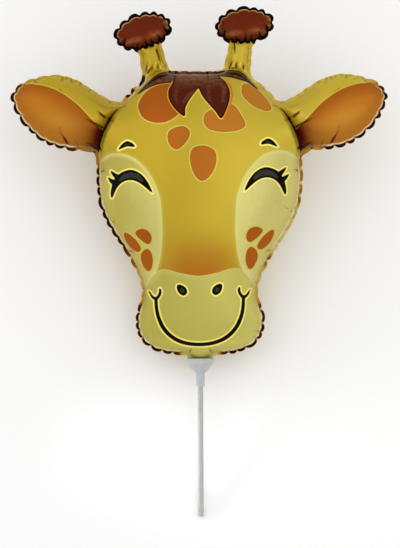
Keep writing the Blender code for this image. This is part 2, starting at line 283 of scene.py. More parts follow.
before, share, width = along_creases(np.arange(EDGE_POINTS) * STEP)
lobe = np.clip((np.sin(math.pi * share) - 0.14) / 0.86, 0, 1) ** 0.5 * (width / PUCKER_PITCH) ** 0.3
lobe_size = rng.uniform(0.78, 1.08, len(gaps))
muzzle_edge = smoothstep(62, 48, edge_y)
calm = (1 - 0.5 * right_cheek) * (1 - 0.55 * right_low) * (1 - 0.3 * left_cheek) * (1 - 0.3 * muzzle_edge)
scallop = (0.22 + 0.78 * site_tone) * calm * (1 - in_cup) * (3.2 * lobe * lobe_size[before] - 2.4)
scallop = ring_smooth(scallop, 2)
wave = ring_smooth((1.5 * np.sin(2 * math.pi * share + 2.2 * flip[before]) * slack), 2)
normal = outward(edge)
rim = edge + normal * scallop[:, None]


def inner_ring(ring, depth):
    """The ring moved inwards by that depth, evened out a little so that it never crosses itself."""
    steps = max(1, round(depth / 0.6))
    for _ in range(steps):
        ring = ring - outward(ring) * depth / steps
        ring = ring_smooth(ring, 1)
    return ring


mean_weld = edge - normal * FLANGE
rings = [mean_weld]
for depth, last in zip(SOLVE_ROWS, (0.0, *SOLVE_ROWS)):
    rings.append(inner_ring(rings[-1], depth - last))


# ---------------------------------------------------------------- folds where the parts meet
def open_curve(places, step=0.9):
    """A smooth open curve through the places, as evenly spaced points."""
    places = np.array(places, float)
    ends = np.vstack([2 * places[0] - places[1], places, 2 * places[-1] - places[-2]])
    shares = np.linspace(0, 1, 12, endpoint=False)
    rows = [bend(*four, t) for four in zip(ends, ends[1:], ends[2:], ends[3:]) for t in shares]
    rows = np.array(rows + [places[-1]])
    along = np.concatenate([[0], np.cumsum(np.linalg.norm(np.diff(rows, axis=0), axis=1))])
    wanted = np.linspace(0, along[-1], max(3, round(along[-1] / step)))
    return np.stack([np.interp(wanted, along, rows[:, k]) for k in range(2)], axis=1)


def beside(curve, points):
    """Signed distance from each point to an open curve, above 0 on its left side."""
    near = np.full(len(points), 1e9)
    side = np.ones(len(points))
    for a, b in zip(curve[:-1], curve[1:]):
        along = b - a
        share = np.clip((points - a) @ along / (along @ along), 0, 1)
        to = points - a - share[:, None] * along
        gap = np.linalg.norm(to, axis=1)
        closer_here = gap < near
        near = np.where(closer_here, gap, near)
        side = np.where(closer_here, np.sign(along[0] * to[:, 1] - along[1] * to[:, 0]), side)
    return near * side


# The head laps over the ears and the horns' stems; the knobs lap over their stems. Each fold runs
# with the part in front on its right: (places, depth as a share, reach in front, reach behind).
EAR_FOLD = ((69, 224.5), (77, 217), (84.2, 204.5), (88, 195), (90.4, 185), (90.8, 174), (90, 166))
ear_folds = [open_curve(EAR_FOLD), open_curve(mirrored(EAR_FOLD))]
HEAD_FOLDS = (
    ((-57.5, 241), (-50.5, 249.3), (-43, 254.3), (-35, 256.3), (-26, 256.6), (-18, 256)),
    ((9, 255.8), (17, 256.8), (27, 257.2), (36.5, 256.2), (45, 252.4), (53, 244.8)),
)
head_folds = [open_curve(places) for places in HEAD_FOLDS]
knob_arc = np.radians(np.linspace(-128, -52, 9))
knob_folds = [
    open_curve(ellipse(knob, axes * (0.93, 0.9), tilt, knob_arc)) for _, _, knob, axes, tilt in horns
]
FOLDS = (
    [(curve, 0.62, 4.0, 13.0) for curve in ear_folds]
    + [(curve, 0.60, 5.0, 8.0) for curve in head_folds]
    + [(curve[::-1], 0.55, 4.5, 5.0) for curve in knob_folds]
)
FOLD_ROWS = (-2.0, -1.1, -0.45, 0.0, 0.45, 1.1, 2.0)


def with_folds(grid, pitch):
    """The grid with rows of points along each fold, so that the fold is crisp in the mesh."""
    made = []
    for curve, *_ in FOLDS:
        normal = np.gradient(curve, axis=0)
        normal = np.stack([-normal[:, 1], normal[:, 0]], axis=1)
        normal /= np.linalg.norm(normal, axis=1)[:, None]
        made += [curve + normal * row for row in FOLD_ROWS]
        grid = grid[np.abs(beside(curve, grid)) > FOLD_ROWS[-1] + 0.45 * pitch]
    made = np.concatenate(made)
    made = made[signed(rings[-1][::2], made) < -0.5]
    return np.concatenate([grid, made])


# ---------------------------------------------------------------- the membrane's height
def hexagonal(loop, pitch, clearance):
    low, high = loop.min(axis=0), loop.max(axis=0)
    rows = []
    for row, y in enumerate(np.arange(low[1], high[1], pitch * math.sqrt(3) / 2)):
        half = np.arange(pitch * (row % 2) / 2, high[0], pitch)
        xs = np.unique(np.concatenate([-half, half]))
        rows.append(np.stack([xs, np.full_like(xs, y)], axis=1))
    grid = np.concatenate(rows)
    return grid[signed(loop[::2], grid) < -clearance]


def membrane(points, triangles, fixed):
    """Height of a membrane lifted by a steady pressure, by linear elements and conjugate gradients."""
    p = points[triangles]
    area = 0.5 * np.abs(
        (p[:, 1, 0] - p[:, 0, 0]) * (p[:, 2, 1] - p[:, 0, 1])
        - (p[:, 1, 1] - p[:, 0, 1]) * (p[:, 2, 0] - p[:, 0, 0])
    )
    area = np.maximum(area, 1e-9)
    opposite = np.stack([p[:, 2] - p[:, 1], p[:, 0] - p[:, 2], p[:, 1] - p[:, 0]], axis=1)
    local = np.einsum("tik,tjk->tij", opposite, opposite) / (4 * area)[:, None, None]
    rows = np.repeat(triangles, 3, axis=1).ravel()
    cols = np.tile(triangles, (1, 3)).ravel()
    values = local.ravel()
    count = len(points)
    free = ~fixed
    keep = free[rows] & free[cols]
    rows, cols, values = rows[keep], cols[keep], values[keep]
    load = np.bincount(triangles.ravel(), np.repeat(2 * area / 3, 3), count) * free
    diagonal = np.bincount(rows[rows == cols], values[rows == cols], count)
    diagonal[diagonal == 0] = 1
    x = np.zeros(count)
    r = load.copy()
    z = r / diagonal
    d = z.copy()
    rz = r @ z
    for _ in range(1500):
        q = np.bincount(rows, values * d[cols], count)
        step = rz / (d @ q)
        x += step * d
        r -= step * q
        z = r / diagonal
        last, rz = rz, r @ z
        if rz < 1e-14 * (load @ (load / diagonal)):
            break
        d = z + rz / last * d
    return x


def sheet(pitch):
    """(points, triangles) of the flat pattern inside the weld, its strip first, then the middle."""
    grid = with_folds(hexagonal(rings[-1], pitch, 0.45 * pitch), pitch)
    inner = np.concatenate([rings[-1], grid])
    n = EDGE_POINTS
    sides = [(k, (k + 1) % n) for k in range(n)]
    found = delaunay_2d_cdt([Vector(p) for p in inner], sides, [list(range(n))], 1, 1e-6)
    original = np.array([given[0] for given in found[3]])
    middle = original[np.array([t[:] for t in found[2]])]
    corner = inner[middle]
    turn = np.cross(corner[:, 1] - corner[:, 0], corner[:, 2] - corner[:, 0])
    middle[turn < 0] = middle[turn < 0][:, ::-1]
    return inner, middle


def between(outer, inner):
    """Triangles between two rings of point numbers, seen from in front."""
    b, c = np.roll(outer, -1), np.roll(inner, -1)
    return np.concatenate([np.stack([outer, b, c], axis=1), np.stack([outer, c, inner], axis=1)])


RING = np.arange(EDGE_POINTS)


def strip(row_count):
    """Triangles of row_count + 1 rings of points, one inside the other."""
    return np.concatenate([
        between(RING + row * EDGE_POINTS, RING + (row + 1) * EDGE_POINTS) for row in range(row_count)
    ])


def heights(pitch):
    """(plan points, triangles, swell) with the strip's rows close together beside the weld."""
    inner, middle = sheet(pitch)
    n = EDGE_POINTS
    points = np.concatenate([*rings[:-1], inner])
    offset = (len(rings) - 1) * n
    triangles = np.concatenate([strip(len(rings) - 1), middle + offset])
    fixed = np.arange(len(points)) < n
    swell = membrane(points, triangles, fixed)
    ring_swell = swell[:offset + n].reshape(-1, n)
    depths = np.array([0.0, *SOLVE_ROWS])
    wanted = BAND_DEPTH * (np.arange(BAND_ROWS + 1) / BAND_ROWS) ** 1.8
    rows, row_swell = [], []
    for depth in wanted[:-1]:
        # A cubic through the four solved rings gives the rows between them.
        share = np.array([
            np.prod([(depth - depths[j]) / (depths[i] - depths[j]) for j in range(4) if j != i])
            for i in range(4)
        ])
        rows.append(np.tensordot(share, np.array(rings), 1))
        row_swell.append(share @ ring_swell)
    new_points = np.concatenate([*rows, inner])
    new_swell = np.concatenate([*row_swell, swell[offset:]])
    new_triangles = np.concatenate([strip(BAND_ROWS), middle + BAND_ROWS * n])
    return new_points, new_triangles, np.maximum(new_swell, 0)


def vertex_normals(points, triangles):
    a, b, c = (points[triangles[:, k]] for k in range(3))
    face = np.cross(b - a, c - a)
    total = np.stack([
        np.bincount(triangles.ravel(), np.repeat(face[:, k], 3), len(points)) for k in range(3)
    ], axis=1)
    return total / np.maximum(np.linalg.norm(total, axis=1), 1e-12)[:, None]


# Creases that start in the corners between two lobes: from, to, depth and width. Each has a twin
# on the other side.
CREASES = (
    ((104.5, 214), (86.5, 204.5), 1.7, 1.6),
    ((92, 220.5), (83.5, 213.5), 1.5, 1.6),
    ((126, 208), (124.5, 200), 0.9, 1.6),
    ((124.5, 200), (117.5, 188), 1.6, 1.7),
    ((103, 191.5), (90, 186), 1.6, 1.7),
    ((112, 196), (108, 184), 0.8, 1.6),
    ((120, 235.5), (126.5, 240.5), 0.9, 1.5),
    ((58, 91.5), (67, 96), 1, 1.4),
    ((37, 74.5), (55, 86), 0.7, 1.5),
    ((84, 166.2), (93, 165.5), 1.1, 1.6),
    ((72, 206), (83, 214), 0.8, 1.5),
    ((62, 222), (76, 227), 0.7, 1.5),
    ((30, 60), (52, 55), 0.45, 2.4),
    ((8, 6.5), (10.5, 0.5), 1, 1.3),
    ((44, 8), (47.5, 2), 0.8, 1.3),
)
# Creases of one side only: on the cheeks, and gathers at the stems' feet and upper sides
ONE_SIDED = (
    ((66, 139.5), (80, 130.5), 0.6, 1.3), ((86.5, 127), (83, 129), 0.8, 1.3),
    ((-73, 123.5), (-82, 117), 0.8, 1.3),
    ((-46, 265.5), (-48.5, 255.5), 0.9, 1.1), ((-41.6, 266), (-42.4, 257.2), 1, 1.1),
    ((-37.2, 265), (-36.4, 258), 0.9, 1.1), ((-32, 263.5), (-30, 258.2), 0.8, 1.1),
    ((29.5, 266), (26.6, 258), 0.9, 1.1), ((34, 266.5), (33.4, 258.6), 1, 1.1),
    ((38.6, 265.5), (40.2, 257.6), 0.9, 1.1), ((44, 262), (47, 254), 0.8, 1.1),
    ((-53.8, 263), (-57, 276), 0.8, 1.2), ((-34.6, 263.5), (-38, 276), 0.8, 1.2),
    ((32.6, 270), (31.4, 283), 0.8, 1.2), ((49.4, 266), (51.4, 280), 0.8, 1.2),
)

def segment_gap(points, start, end):
    """(distance, share along) of each point from a straight segment."""
    start, end = np.array(start), np.array(end)
    along = end - start
    share = np.clip((points - start) @ along / (along @ along), 0, 1)
    return np.linalg.norm(points - start - share[:, None] * along, axis=1), share


def film(pitch, face):
    """One blown-up sheet: everything that its mesh and its print need. face is 1 in front, -1 behind."""
    plan, triangles, swell = heights(pitch)
    half = FULLNESS * np.sqrt(swell)
    far, place = nearest(mean_weld, plan)
    edge_at = np.floor(place).astype(int) % EDGE_POINTS

    # Folds where a lobe joins the head or a knob its stem: a cusp, steeper on the side in front
    for curve, deep, front_reach, back_reach in FOLDS:
        gap = beside(curve, plan)
        reach = np.where(gap < 0, front_reach, back_reach)
        cusp = np.clip(1 - np.sqrt(np.abs(gap) / reach), 0, 1)
        half *= 1 - deep * cusp

    # The neck stays round in the cup.
    neck = (plan[:, 1] < 1.0) & (far > 0)
    tube = np.sqrt(np.maximum(NECK_ROUND**2 - plan[:, 0] ** 2, 0)) * smoothstep(-11.5, -5.0, plan[:, 1])
    half = np.where(neck, np.maximum(half, tube * smoothstep(3.0, -3.0, plan[:, 1])), half)

    base = np.column_stack([plan, half])
    up = vertex_normals(base, triangles)
    arc = 1.05 * np.hypot(far, half)
    s = place * STEP

    # Puckers: sharp valleys that fade away from the weld, with the film round between them.
    steep = np.sqrt(np.maximum(1 - up[:, 2] ** 2, 0))
    before, share, width = along_creases(s)
    count = len(crease_at)
    dent = np.zeros(len(plan))
    for shift in (-1, 0, 1, 2):
        k = (before + shift) % count
        gap = (s - crease_at[k] - crease_skew[k] * arc * face + PERIMETER / 2) % PERIMETER - PERIMETER / 2
        reach = crease_long[k] * (0.8 if face < 0 else 1.0)
        fade = np.exp(-((arc / reach) ** 1.5))
        wide = 0.9 + 0.09 * arc
        dent += crease_deep[k] * fade * np.exp(-np.abs(gap) / wide)
    rise = smoothstep(0.0, 3.5, arc)
    swollen = np.sin(math.pi * share) * (width / PUCKER_PITCH) * np.exp(-((arc / 9.0) ** 1.3))
    off_ridge = smoothstep(0.15, 0.75, steep)
    push = slack[edge_at] * off_ridge * (1.05 * swollen * rise - 1.25 * dent * (0.35 + 0.65 * rise))

    # The scallops of the weld carry on into the film for a few millimetres.
    push += WELD_SHARE * scallop[edge_at] * np.exp(-((arc / 5.0) ** 2))

    # distance to the creases, where the film is painted darker as shade
    painted_crease_shade = np.full(len(plan), OUTSIDE)
    for start, end, deep, wide in CREASES:
        for mirror in (1, -1):
            gap, t = segment_gap(plan * (mirror, 1), start, end)
            taper = smoothstep(0.0, 0.6, t) if deep > 0.6 else np.sin(math.pi * t)
            push -= deep * (0.15 + 0.85 * taper) * np.exp(-gap / wide) * smoothstep(0.5, 2.5, far)
            painted_crease_shade = np.minimum(painted_crease_shade, gap - min(1.3 * (deep - 0.6), 1.15) * (0.15 + 0.85 * taper))
    for start, end, deep, wide in ONE_SIDED:
        gap, t = segment_gap(plan, start, end)
        push -= deep * (0.3 + 0.7 * t) * np.exp(-gap / wide) * smoothstep(0.3, 1.5, far)
        painted_crease_shade = np.minimum(painted_crease_shade, gap + 0.3 - 1.25 * min(deep, 1.0) * (0.2 + 0.8 * t))

    # Slow unevenness of a real film
    x, y = plan.T
    slow = np.sin(x / 17.0 + 1.3 * face) * np.sin(y / 23.0 + 0.4) + 0.6 * np.sin((x + 1.7 * y) / 13.0)
    push += 0.22 * slow * smoothstep(4.0, 25.0, far)

    points = base + up * push[:, None]
    points[:, 2] = np.maximum(points[:, 2], FILM / 2 + 0.02 * far)
    points[:, 2] = points[:, 2] * face + wave[edge_at] * np.exp(-((arc / 6.0) ** 2))
    return {
        "points": points, "plan": plan, "triangles": triangles,
        "far": far, "edge_at": edge_at, "painted_crease_shade": painted_crease_shade,
    }


front, back = film(FRONT_PITCH, 1), film(BACK_PITCH, -1)

# ---------------------------------------------------------------- the closed film in the frame
plane = Matrix.Translation(PLANE_ORIGIN) @ Matrix.Rotation(TILT, 4, "X")
plane_turn = np.array(plane.to_3x3())


def laid(points_mm):
    """Plane points in millimetres as points of the frame in metres, resting on the floor."""
    world = points_mm * MM @ plane_turn.T + np.array(PLANE_ORIGIN)
    world[:, 2] = np.maximum(world[:, 2], FOOT_Z + 0.0001)
    return world


n = EDGE_POINTS
weld_xy = (front["points"][:n, :2] + back["points"][:n, :2]) / 2
for side in (front, back):
    side["points"][:n, :2] = weld_xy

flange = []
for face in (1, -1):
    for row in range(1, FLANGE_ROWS + 1):
        t = row / FLANGE_ROWS
        xy = weld_xy * (1 - t) + rim * t
        z = wave * (1 + 0.45 * t) + face * FILM / 2
        flange.append(np.column_stack([xy, z]))
flange = np.concatenate(flange)

points = np.concatenate([front["points"], back["points"], flange])
plan = np.concatenate([front["plan"], back["plan"], flange[:, :2]])
flange_far = np.tile(np.repeat(-FLANGE * np.arange(1, FLANGE_ROWS + 1) / FLANGE_ROWS, n), 2)
far = np.concatenate([front["far"], back["far"], flange_far])
back_at = len(front["plan"])
flange_at = back_at + len(back["plan"])
is_front = np.zeros(len(points), bool)
is_front[:back_at] = True
is_front[flange_at:][:FLANGE_ROWS * n] = True

front_rings = [RING] + [flange_at + row * n + RING for row in range(FLANGE_ROWS)]
back_rings = [back_at + RING] + [flange_at + (FLANGE_ROWS + row) * n + RING for row in range(FLANGE_ROWS)]
faces = [front["triangles"], back["triangles"][:, ::-1] + back_at]
for row in range(FLANGE_ROWS):
    faces.append(between(front_rings[row + 1], front_rings[row]))
    faces.append(between(back_rings[row + 1], back_rings[row])[:, ::-1])
faces.append(between(back_rings[-1], front_rings[-1]))
faces = np.concatenate(faces)


def mesh_object(name, points, faces, node):
    """A smooth piece on the one body, in place of a node of the frame."""
    mesh = bpy.data.meshes.new(name)
    mesh.from_pydata(points.tolist(), [], faces.tolist())
    mesh.shade_smooth()
    made = bpy.data.objects.new(name, mesh)
    bpy.context.scene.collection.objects.link(made)
    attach(made, "root")
    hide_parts(node)
    return made


balloon = mesh_object("balloon_film", laid(points), faces, "foil_balloon")

# ---------------------------------------------------------------- the print, as signed distances
# Every value below is in millimetres of the plane. A shape is negative inside.
x, y = plan.T
FACE_MIDDLE = (-0.4, 55.0)  # the face's print sits a little to one side and leans
FACE_SHIFT, FACE_DROP = 0.0075, 0.0148
u = x - FACE_MIDDLE[0] + FACE_SHIFT * (y - FACE_MIDDLE[1])
v = y - FACE_DROP * (x - FACE_MIDDLE[0])
face_plan = np.column_stack([u, v])
both = np.column_stack([np.abs(u), v])
halves = np.column_stack([np.abs(x), y])
edge_at = np.concatenate([front["edge_at"], back["edge_at"], np.tile(RING, 2 * FLANGE_ROWS)])


def own_axes(points, centre, tilt):
    """The points' places along the two axes of a shape with that centre and tilt."""
    c, s = cos_sin(tilt)
    x, y = points[:, 0] - centre[0], points[:, 1] - centre[1]
    return x * c + y * s, -x * s + y * c


def blob(points, cx, cy, a, b, tilt=0.0, egg=0.0):
    """A rounded spot: an ellipse that is wider at its upper end where egg is above 0."""
    p, q = own_axes(points, (cx, cy), tilt)
    p = p / (1 + egg * np.clip(q / b, -1.2, 1.2))
    size = np.hypot(p / a, q / b)
    slope = np.hypot(p / a**2, q / b**2)
    return np.where(size < 1e-6, -min(a, b), size * (size - 1) / np.maximum(slope, 1e-9))


def stroke(points, places, radii):
    """A line through the places, with a radius at each."""
    out = np.full(len(points), OUTSIDE)
    for start, end, r0, r1 in zip(places, places[1:], radii, radii[1:]):
        gap, t = segment_gap(points, start, end)
        out = np.minimum(out, gap - r0 - (r1 - r0) * t)
    return out


def patch(points, corners):
    return signed(spline(corners, 6), points)


def nearest_of(shapes):
    return np.minimum.reduce(list(shapes))


def on_front(values, elsewhere=OUTSIDE):
    return np.where(is_front, values, elsewhere)


def strokes(points, rows):
    """The nearest of several strokes, each row its places and then their radii."""
    return nearest_of(stroke(points, places, radii) for *places, radii in rows)


def near_front(test):
    """Numbers of the front points that pass, so that small motifs are worked out only there."""
    return np.flatnonzero(is_front & test)


def only(ids, values):
    """Distances of the points with those numbers, with every other point far outside."""
    out = np.full(len(plan), OUTSIDE)
    out[ids] = values
    return out


# Orange spots, each with its tone from dark 0 to light 1
SPOTS = (
    (0.05, ((-19, 246), (-31, 243.6), (-43, 239.4), (-51, 232.4), (-54.6, 223), (-51, 213.4), (-44, 208.9),
            (-36, 207.4), (-27.5, 209), (-18, 216), (-12, 232))),
    (0.75, ((3.7, 209.6), (5.4, 204.6), (9.9, 200.8), (20.5, 198.8), (32, 199.9), (39.6, 203), (40.6, 207.4),
            (37.1, 214.6), (33.3, 220.3), (29.3, 223.8), (22, 224), (11, 219.2), (5.6, 215.6))),
    (0.80, ((37.8, 238), (39.4, 242.8), (43.9, 243), (49.5, 240.2), (56.3, 234.4), (62.1, 227.3), (64.6, 221),
            (61.7, 218.2), (55.6, 219.3), (48.8, 222.3), (41.3, 228.7), (38.2, 233.6))),
    (0.35, ((-23.3, 202.3), (-14.2, 204), (-8.4, 199.3), (-11.2, 190.6), (-19.8, 183.4), (-26.6, 188),
            (-28.2, 197.2))),
    (0.40, ((-3.8, 185.6), (5, 186.6), (13, 182.6), (15, 175.5), (12.9, 165.6), (6.2, 156.9), (0, 155.9),
            (-5.8, 163.5), (-8.3, 174), (-7.4, 181.5))),
)
CHEEK_SPOTS = (
    ((66.2, 111.6), (61, 108.9), (55.4, 103.4), (51.9, 97.4), (52.8, 94.4), (56.3, 94), (60.3, 96.6),
     (64.6, 101.7), (67.2, 108.2)),
    ((56.9, 110.6), (54.5, 113.2), (50, 114.2), (45, 112.1), (42.2, 107.4), (42.5, 102.7), (45.4, 100.5),
     (49, 102.2), (53.8, 106.2)),
    ((46.6, 96.3), (51.1, 93.3), (52.5, 88.2), (51.1, 82.4), (47.4, 77.2), (44.4, 76.7), (41.9, 81.5),
     (41.3, 87.5), (43, 93.7)),
)
# The back has a plain giraffe pattern.
BACK_SPOTS = (
    (0, 214, 21, 15, 5), (-41, 206, 15, 18, 20), (40, 201, 17, 15, -12), (-18, 176, 17, 14, -20),
    (19, 170, 14, 16, 15), (-56, 166, 13, 17, 8), (57, 160, 12, 17, -10), (-33, 137, 15, 14, 12),
    (2, 137, 14, 13, 0), (37, 131, 13, 13, -25), (-14, 106, 13, 13, 20), (20, 101, 13, 12, -8),
    (-44, 104, 9, 12, 15), (0, 73, 12, 12, 12), (-26, 64, 9, 10, -10), (28, 60, 10, 10, 14),
    (5, 40, 10, 9, 6), (-22, 30, 10, 9, 20), (31, 28, 9, 9, 0), (0, 244, 9, 6, 0), (-66, 222, 8, 9, 30),
    (66, 221, 8, 9, -30), (-118, 222, 13, 9, 20), (119, 221, 13, 9, -22), (-141, 233, 8, 6, 30),
    (142, 233, 8, 6, -30), (-118, 200, 8, 6, 10), (120, 200, 8, 6, -8),
)
spot_tone = np.full(len(plan), 0.4)
ids = near_front((np.abs(x) < 75) & (y > 60))
found = [patch(plan[ids], loop) for _, loop in SPOTS] + [patch(both[ids], loop) for loop in CHEEK_SPOTS]
found = np.array(found)
tones = np.array([tone for tone, _ in SPOTS] + [0.0] * len(CHEEK_SPOTS))
spots = only(ids, found.min(axis=0))
spot_tone[ids] = tones[found.argmin(axis=0)]
behind = ~is_front
wobble = 0.06 * np.sin(x / 4.1 + 0.7) + 0.05 * np.sin(y / 3.3)
spots[behind] = nearest_of(
    blob(plan[behind] + wobble[behind, None] * 18, *spot, 0.12) for spot in BACK_SPOTS
)

# Cream cheeks and muzzle
CHEEK = (
    (46, 60), (42.5, 69), (38.4, 75.8), (35.6, 83), (33.2, 96), (32.2, 117), (33.6, 138.5), (37, 150.5),
    (43, 162.3), (52, 173.2), (60.8, 179.2), (71, 182), (80.6, 181), (90, 175.5), (104, 168), (112, 120),
    (84, 74), (62, 56),
)
cheek = on_front(signed(spline(CHEEK), both))
MUZZLE = (
    (0, 70.9), (17, 73.6), (27.4, 76.6), (34, 77), (39.2, 73.9), (43.4, 69.2), (47, 64), (56, 56), (80, 40),
    (70, -14), (0, -14),
)
muzzle = on_front(signed(spline(list(MUZZLE) + mirrored(MUZZLE[1:-1])), face_plan))

# Inside of the ears, cut off where the head laps over them
EAR_INSIDE = (
    (176, 236), (164, 242.6), (151, 244.6), (130, 239.4), (112, 227.8), (98, 213.6), (88.4, 203.7), (76, 192),
    (80, 172), (120, 170), (160, 190), (184, 214),
)
junction = np.where(x > 0, beside(ear_folds[0], plan), beside(ear_folds[1], plan))
in_ear = np.where(y > 150, junction, -OUTSIDE)
ear_inside = on_front(np.maximum(signed(spline(EAR_INSIDE), halves), -in_ear))
fold_width = np.interp(y, [166, 174, 186, 200, 210, 219, 226], [0.2, 0.3, 0.5, 0.6, 0.6, 0.4, 0.0])
root_line = stroke(halves, ((90.6, 187.3), (96.5, 185.4), (102.0, 188.4)), (0.7, 0.6, 0.3))
fold_line = np.minimum(np.abs(junction - 0.3) - fold_width, root_line)
fold_line = on_front(np.where((y > 160) & (y < 228), fold_line, OUTSIDE))
beyond_fold, past_fold = np.maximum(in_ear, 0), smoothstep(-0.5, 0.5, in_ear)
# painted shade: the ear darkens towards the fold at its root, more so low down
ear_root_painted_shade = np.exp(-beyond_fold / 8) * past_fold * smoothstep(214, 200, y)
ear_root_painted_shade = np.clip(ear_root_painted_shade + 0.62 * np.exp(-beyond_fold / 16) * past_fold, 0, 1)

# Tuft of hair, with the bands that run from it along the top of the head
TUFT = (
    (-22, 250), (-24.2, 243.5), (-27.2, 237.5), (-27.4, 230.5), (-24.8, 224.3), (-20, 218), (-12.9, 212.9),
    (-12.2, 220.6), (-8.3, 228.5), (-2.2, 236.9), (-0.6, 238.5), (0.2, 236.9), (2.8, 231.4), (8.1, 224.4),
    (13.9, 217.8), (19.4, 210.9), (24.3, 219.5), (27, 228.5), (27.2, 236.6), (23.8, 244.4), (18, 250.5),
    (10, 262), (-18, 262),
)
NOTCH = ((-13.4, 207), (-12.4, 222), (-6, 234), (-0.8, 241), (4, 232), (14, 221), (20.5, 207))
HAIR_LEFT = (
    (-58, 232.2), (-49.6, 241.8), (-41.8, 249.2), (-34.8, 253.8), (-27.9, 256), (-19, 260), (-17.5, 250),
    (-21, 244.9), (-30.8, 243.8), (-39.6, 242), (-48.4, 238.2),
)
HAIR_RIGHT = (
    (9.6, 252.4), (17.1, 255.4), (26, 256.8), (35, 255.8), (42, 251.4), (47, 246.1), (52.6, 238.4),
    (43.6, 244.5), (35.6, 247), (26.9, 249.2), (18, 250.3),
)
STRANDS = (
    ((-3.6, 237), (-8.8, 232.6), (-13.6, 226), (0.1, 1.6, 0.1)),
    ((19, 246), (22.4, 238), (21, 226.5), (0.1, 1.5, 0.1)),
    ((-19.5, 226), (-21.5, 231), (-19, 240), (0.1, 0.5, 0.1)),
    ((10, 226), (8, 233), (9.5, 241), (0.1, 0.5, 0.1)),
)
RIDGES = (  # black lines in the hair: a pleat, and the bands' upper edges, which lie over the head's edge
    ((7.4, 255.6), (7.7, 250), (8.2, 245), (1, 0.8, 0.3)),
    ((-57, 232.4), (-49.6, 240), (-42.2, 246.2), (0.2, 0.5, 0.8)),
    ((-42.2, 246.2), (-35.2, 250.2), (-27.9, 252.2), (0.8, 1.1, 1.2)),
    ((-27.9, 252.2), (-22.8, 252.6), (-21, 248), (1.2, 1.1, 0.6)),
    ((11, 251.8), (18, 252.6), (26, 253.2), (0.3, 0.9, 1.1)),
    ((26, 253.2), (34.2, 252.4), (41, 248.8), (1.1, 1.2, 1.2)),
    ((41, 248.8), (46.2, 244), (52.2, 238), (1.2, 1, 0.3)),
)
RIM_STROKE = ((23.4, 247.2), (28.0, 240), (29.0, 232), (27.6, 225), (25.0, 219)), (0.5, 1.3, 1.5, 1.2, 0.4)
ids = near_front((np.abs(x) < 66) & (y > 200))
here = plan[ids]
tuft, notch = only(ids, patch(here, TUFT)), only(ids, patch(here, NOTCH))
hair = only(ids, np.minimum(patch(here, HAIR_LEFT), patch(here, HAIR_RIGHT)))
strands, pleat = only(ids, strokes(here, STRANDS)), only(ids, strokes(here, RIDGES))
tuft_rim = only(ids, stroke(here, *RIM_STROKE))
tuft_top = on_front(smoothstep(236, 252, y), 0.0)

# Everything in black: brows, closed eyes with lashes, nostrils and smile
BROW = (
    (70.9, 184.9), (69.2, 188.2), (66.2, 191.1), (62.7, 192.5), (58.9, 191), (56, 188.2), (56.9, 186.9),
    (63.4, 187.5),
)
EYE = (
    (40.5, 145.5), (42.4, 150.6), (45.8, 156.9), (51.4, 163.2), (59.4, 166.8), (67.6, 165.2), (73.5, 160.8),
    (77.4, 153.2), (78.7, 145.2), (77.3, 142.2), (75.2, 145.9), (72.5, 151.2), (67.5, 155.9), (61, 157.6),
    (54, 155.7), (47, 150.5), (42.5, 146.5),
)
NOSTRIL = ((19.9, 63.6), (16.2, 63.7), (12.1, 60.9), (11.0, 56.5), (14.1, 53.9), (18.0, 55.8), (20.1, 59.7))
LASHES = (
    ((71.5, 159.8), (75.4, 163.3), (78.2, 166.2), (2.6, 1.7, 0.7)),
    ((74, 155), (78, 157.7), (80.8, 160.6), (2.6, 1.8, 0.6)),
)
MOUTH_ENDS = (
    ((39.2, 51.6), (37.5, 52.8), (36.1, 54.9), (35.3, 57.2), (35.6, 60), (1.45, 1.4, 1.4, 1.35, 1.05)),
    ((39.2, 51.6), (41.3, 52.3), (43.3, 54.3), (45.6, 57.9), (1.45, 1.3, 1.1, 0.75)),
)
SHEENS = (  # greyer lines in the lids and brows
    ((50, 157), (54.5, 160.8), (60, 162.2), (66, 161), (70, 158), (1.4, 2.3, 2.6, 2.3, 1.2)),
    ((61, 189.6), (65.5, 188.9), (0.9, 0.7)),
)
SMILE_HALF_WIDTH, SMILE_DEPTH, SMILE_TOP, SMILE_POWER = 39.1, 41.2, 51.2, 2.33
turn = np.linspace(0, math.pi / 2, 30)
smile_path = [(
    SMILE_HALF_WIDTH * math.sin(t) ** (2 / SMILE_POWER),
    SMILE_TOP - SMILE_DEPTH * math.cos(t) ** (2 / SMILE_POWER),
) for t in turn]
ids = near_front((v > 4) & (v < 196) & (np.abs(u) < 88))
here = both[ids]
ink = only(ids, nearest_of((
    patch(here, BROW), patch(here, EYE), patch(here, NOSTRIL),
    strokes(here, LASHES + MOUTH_ENDS),
    stroke(here, smile_path, np.interp(turn, [0, 0.5, 1.1, 1.57], [1.7, 1.85, 1.85, 1.5])),
)))
ink_soft = only(ids, np.minimum(strokes(here, SHEENS), blob(here, 15.6, 58.8, 1.9, 2.6, -38)))
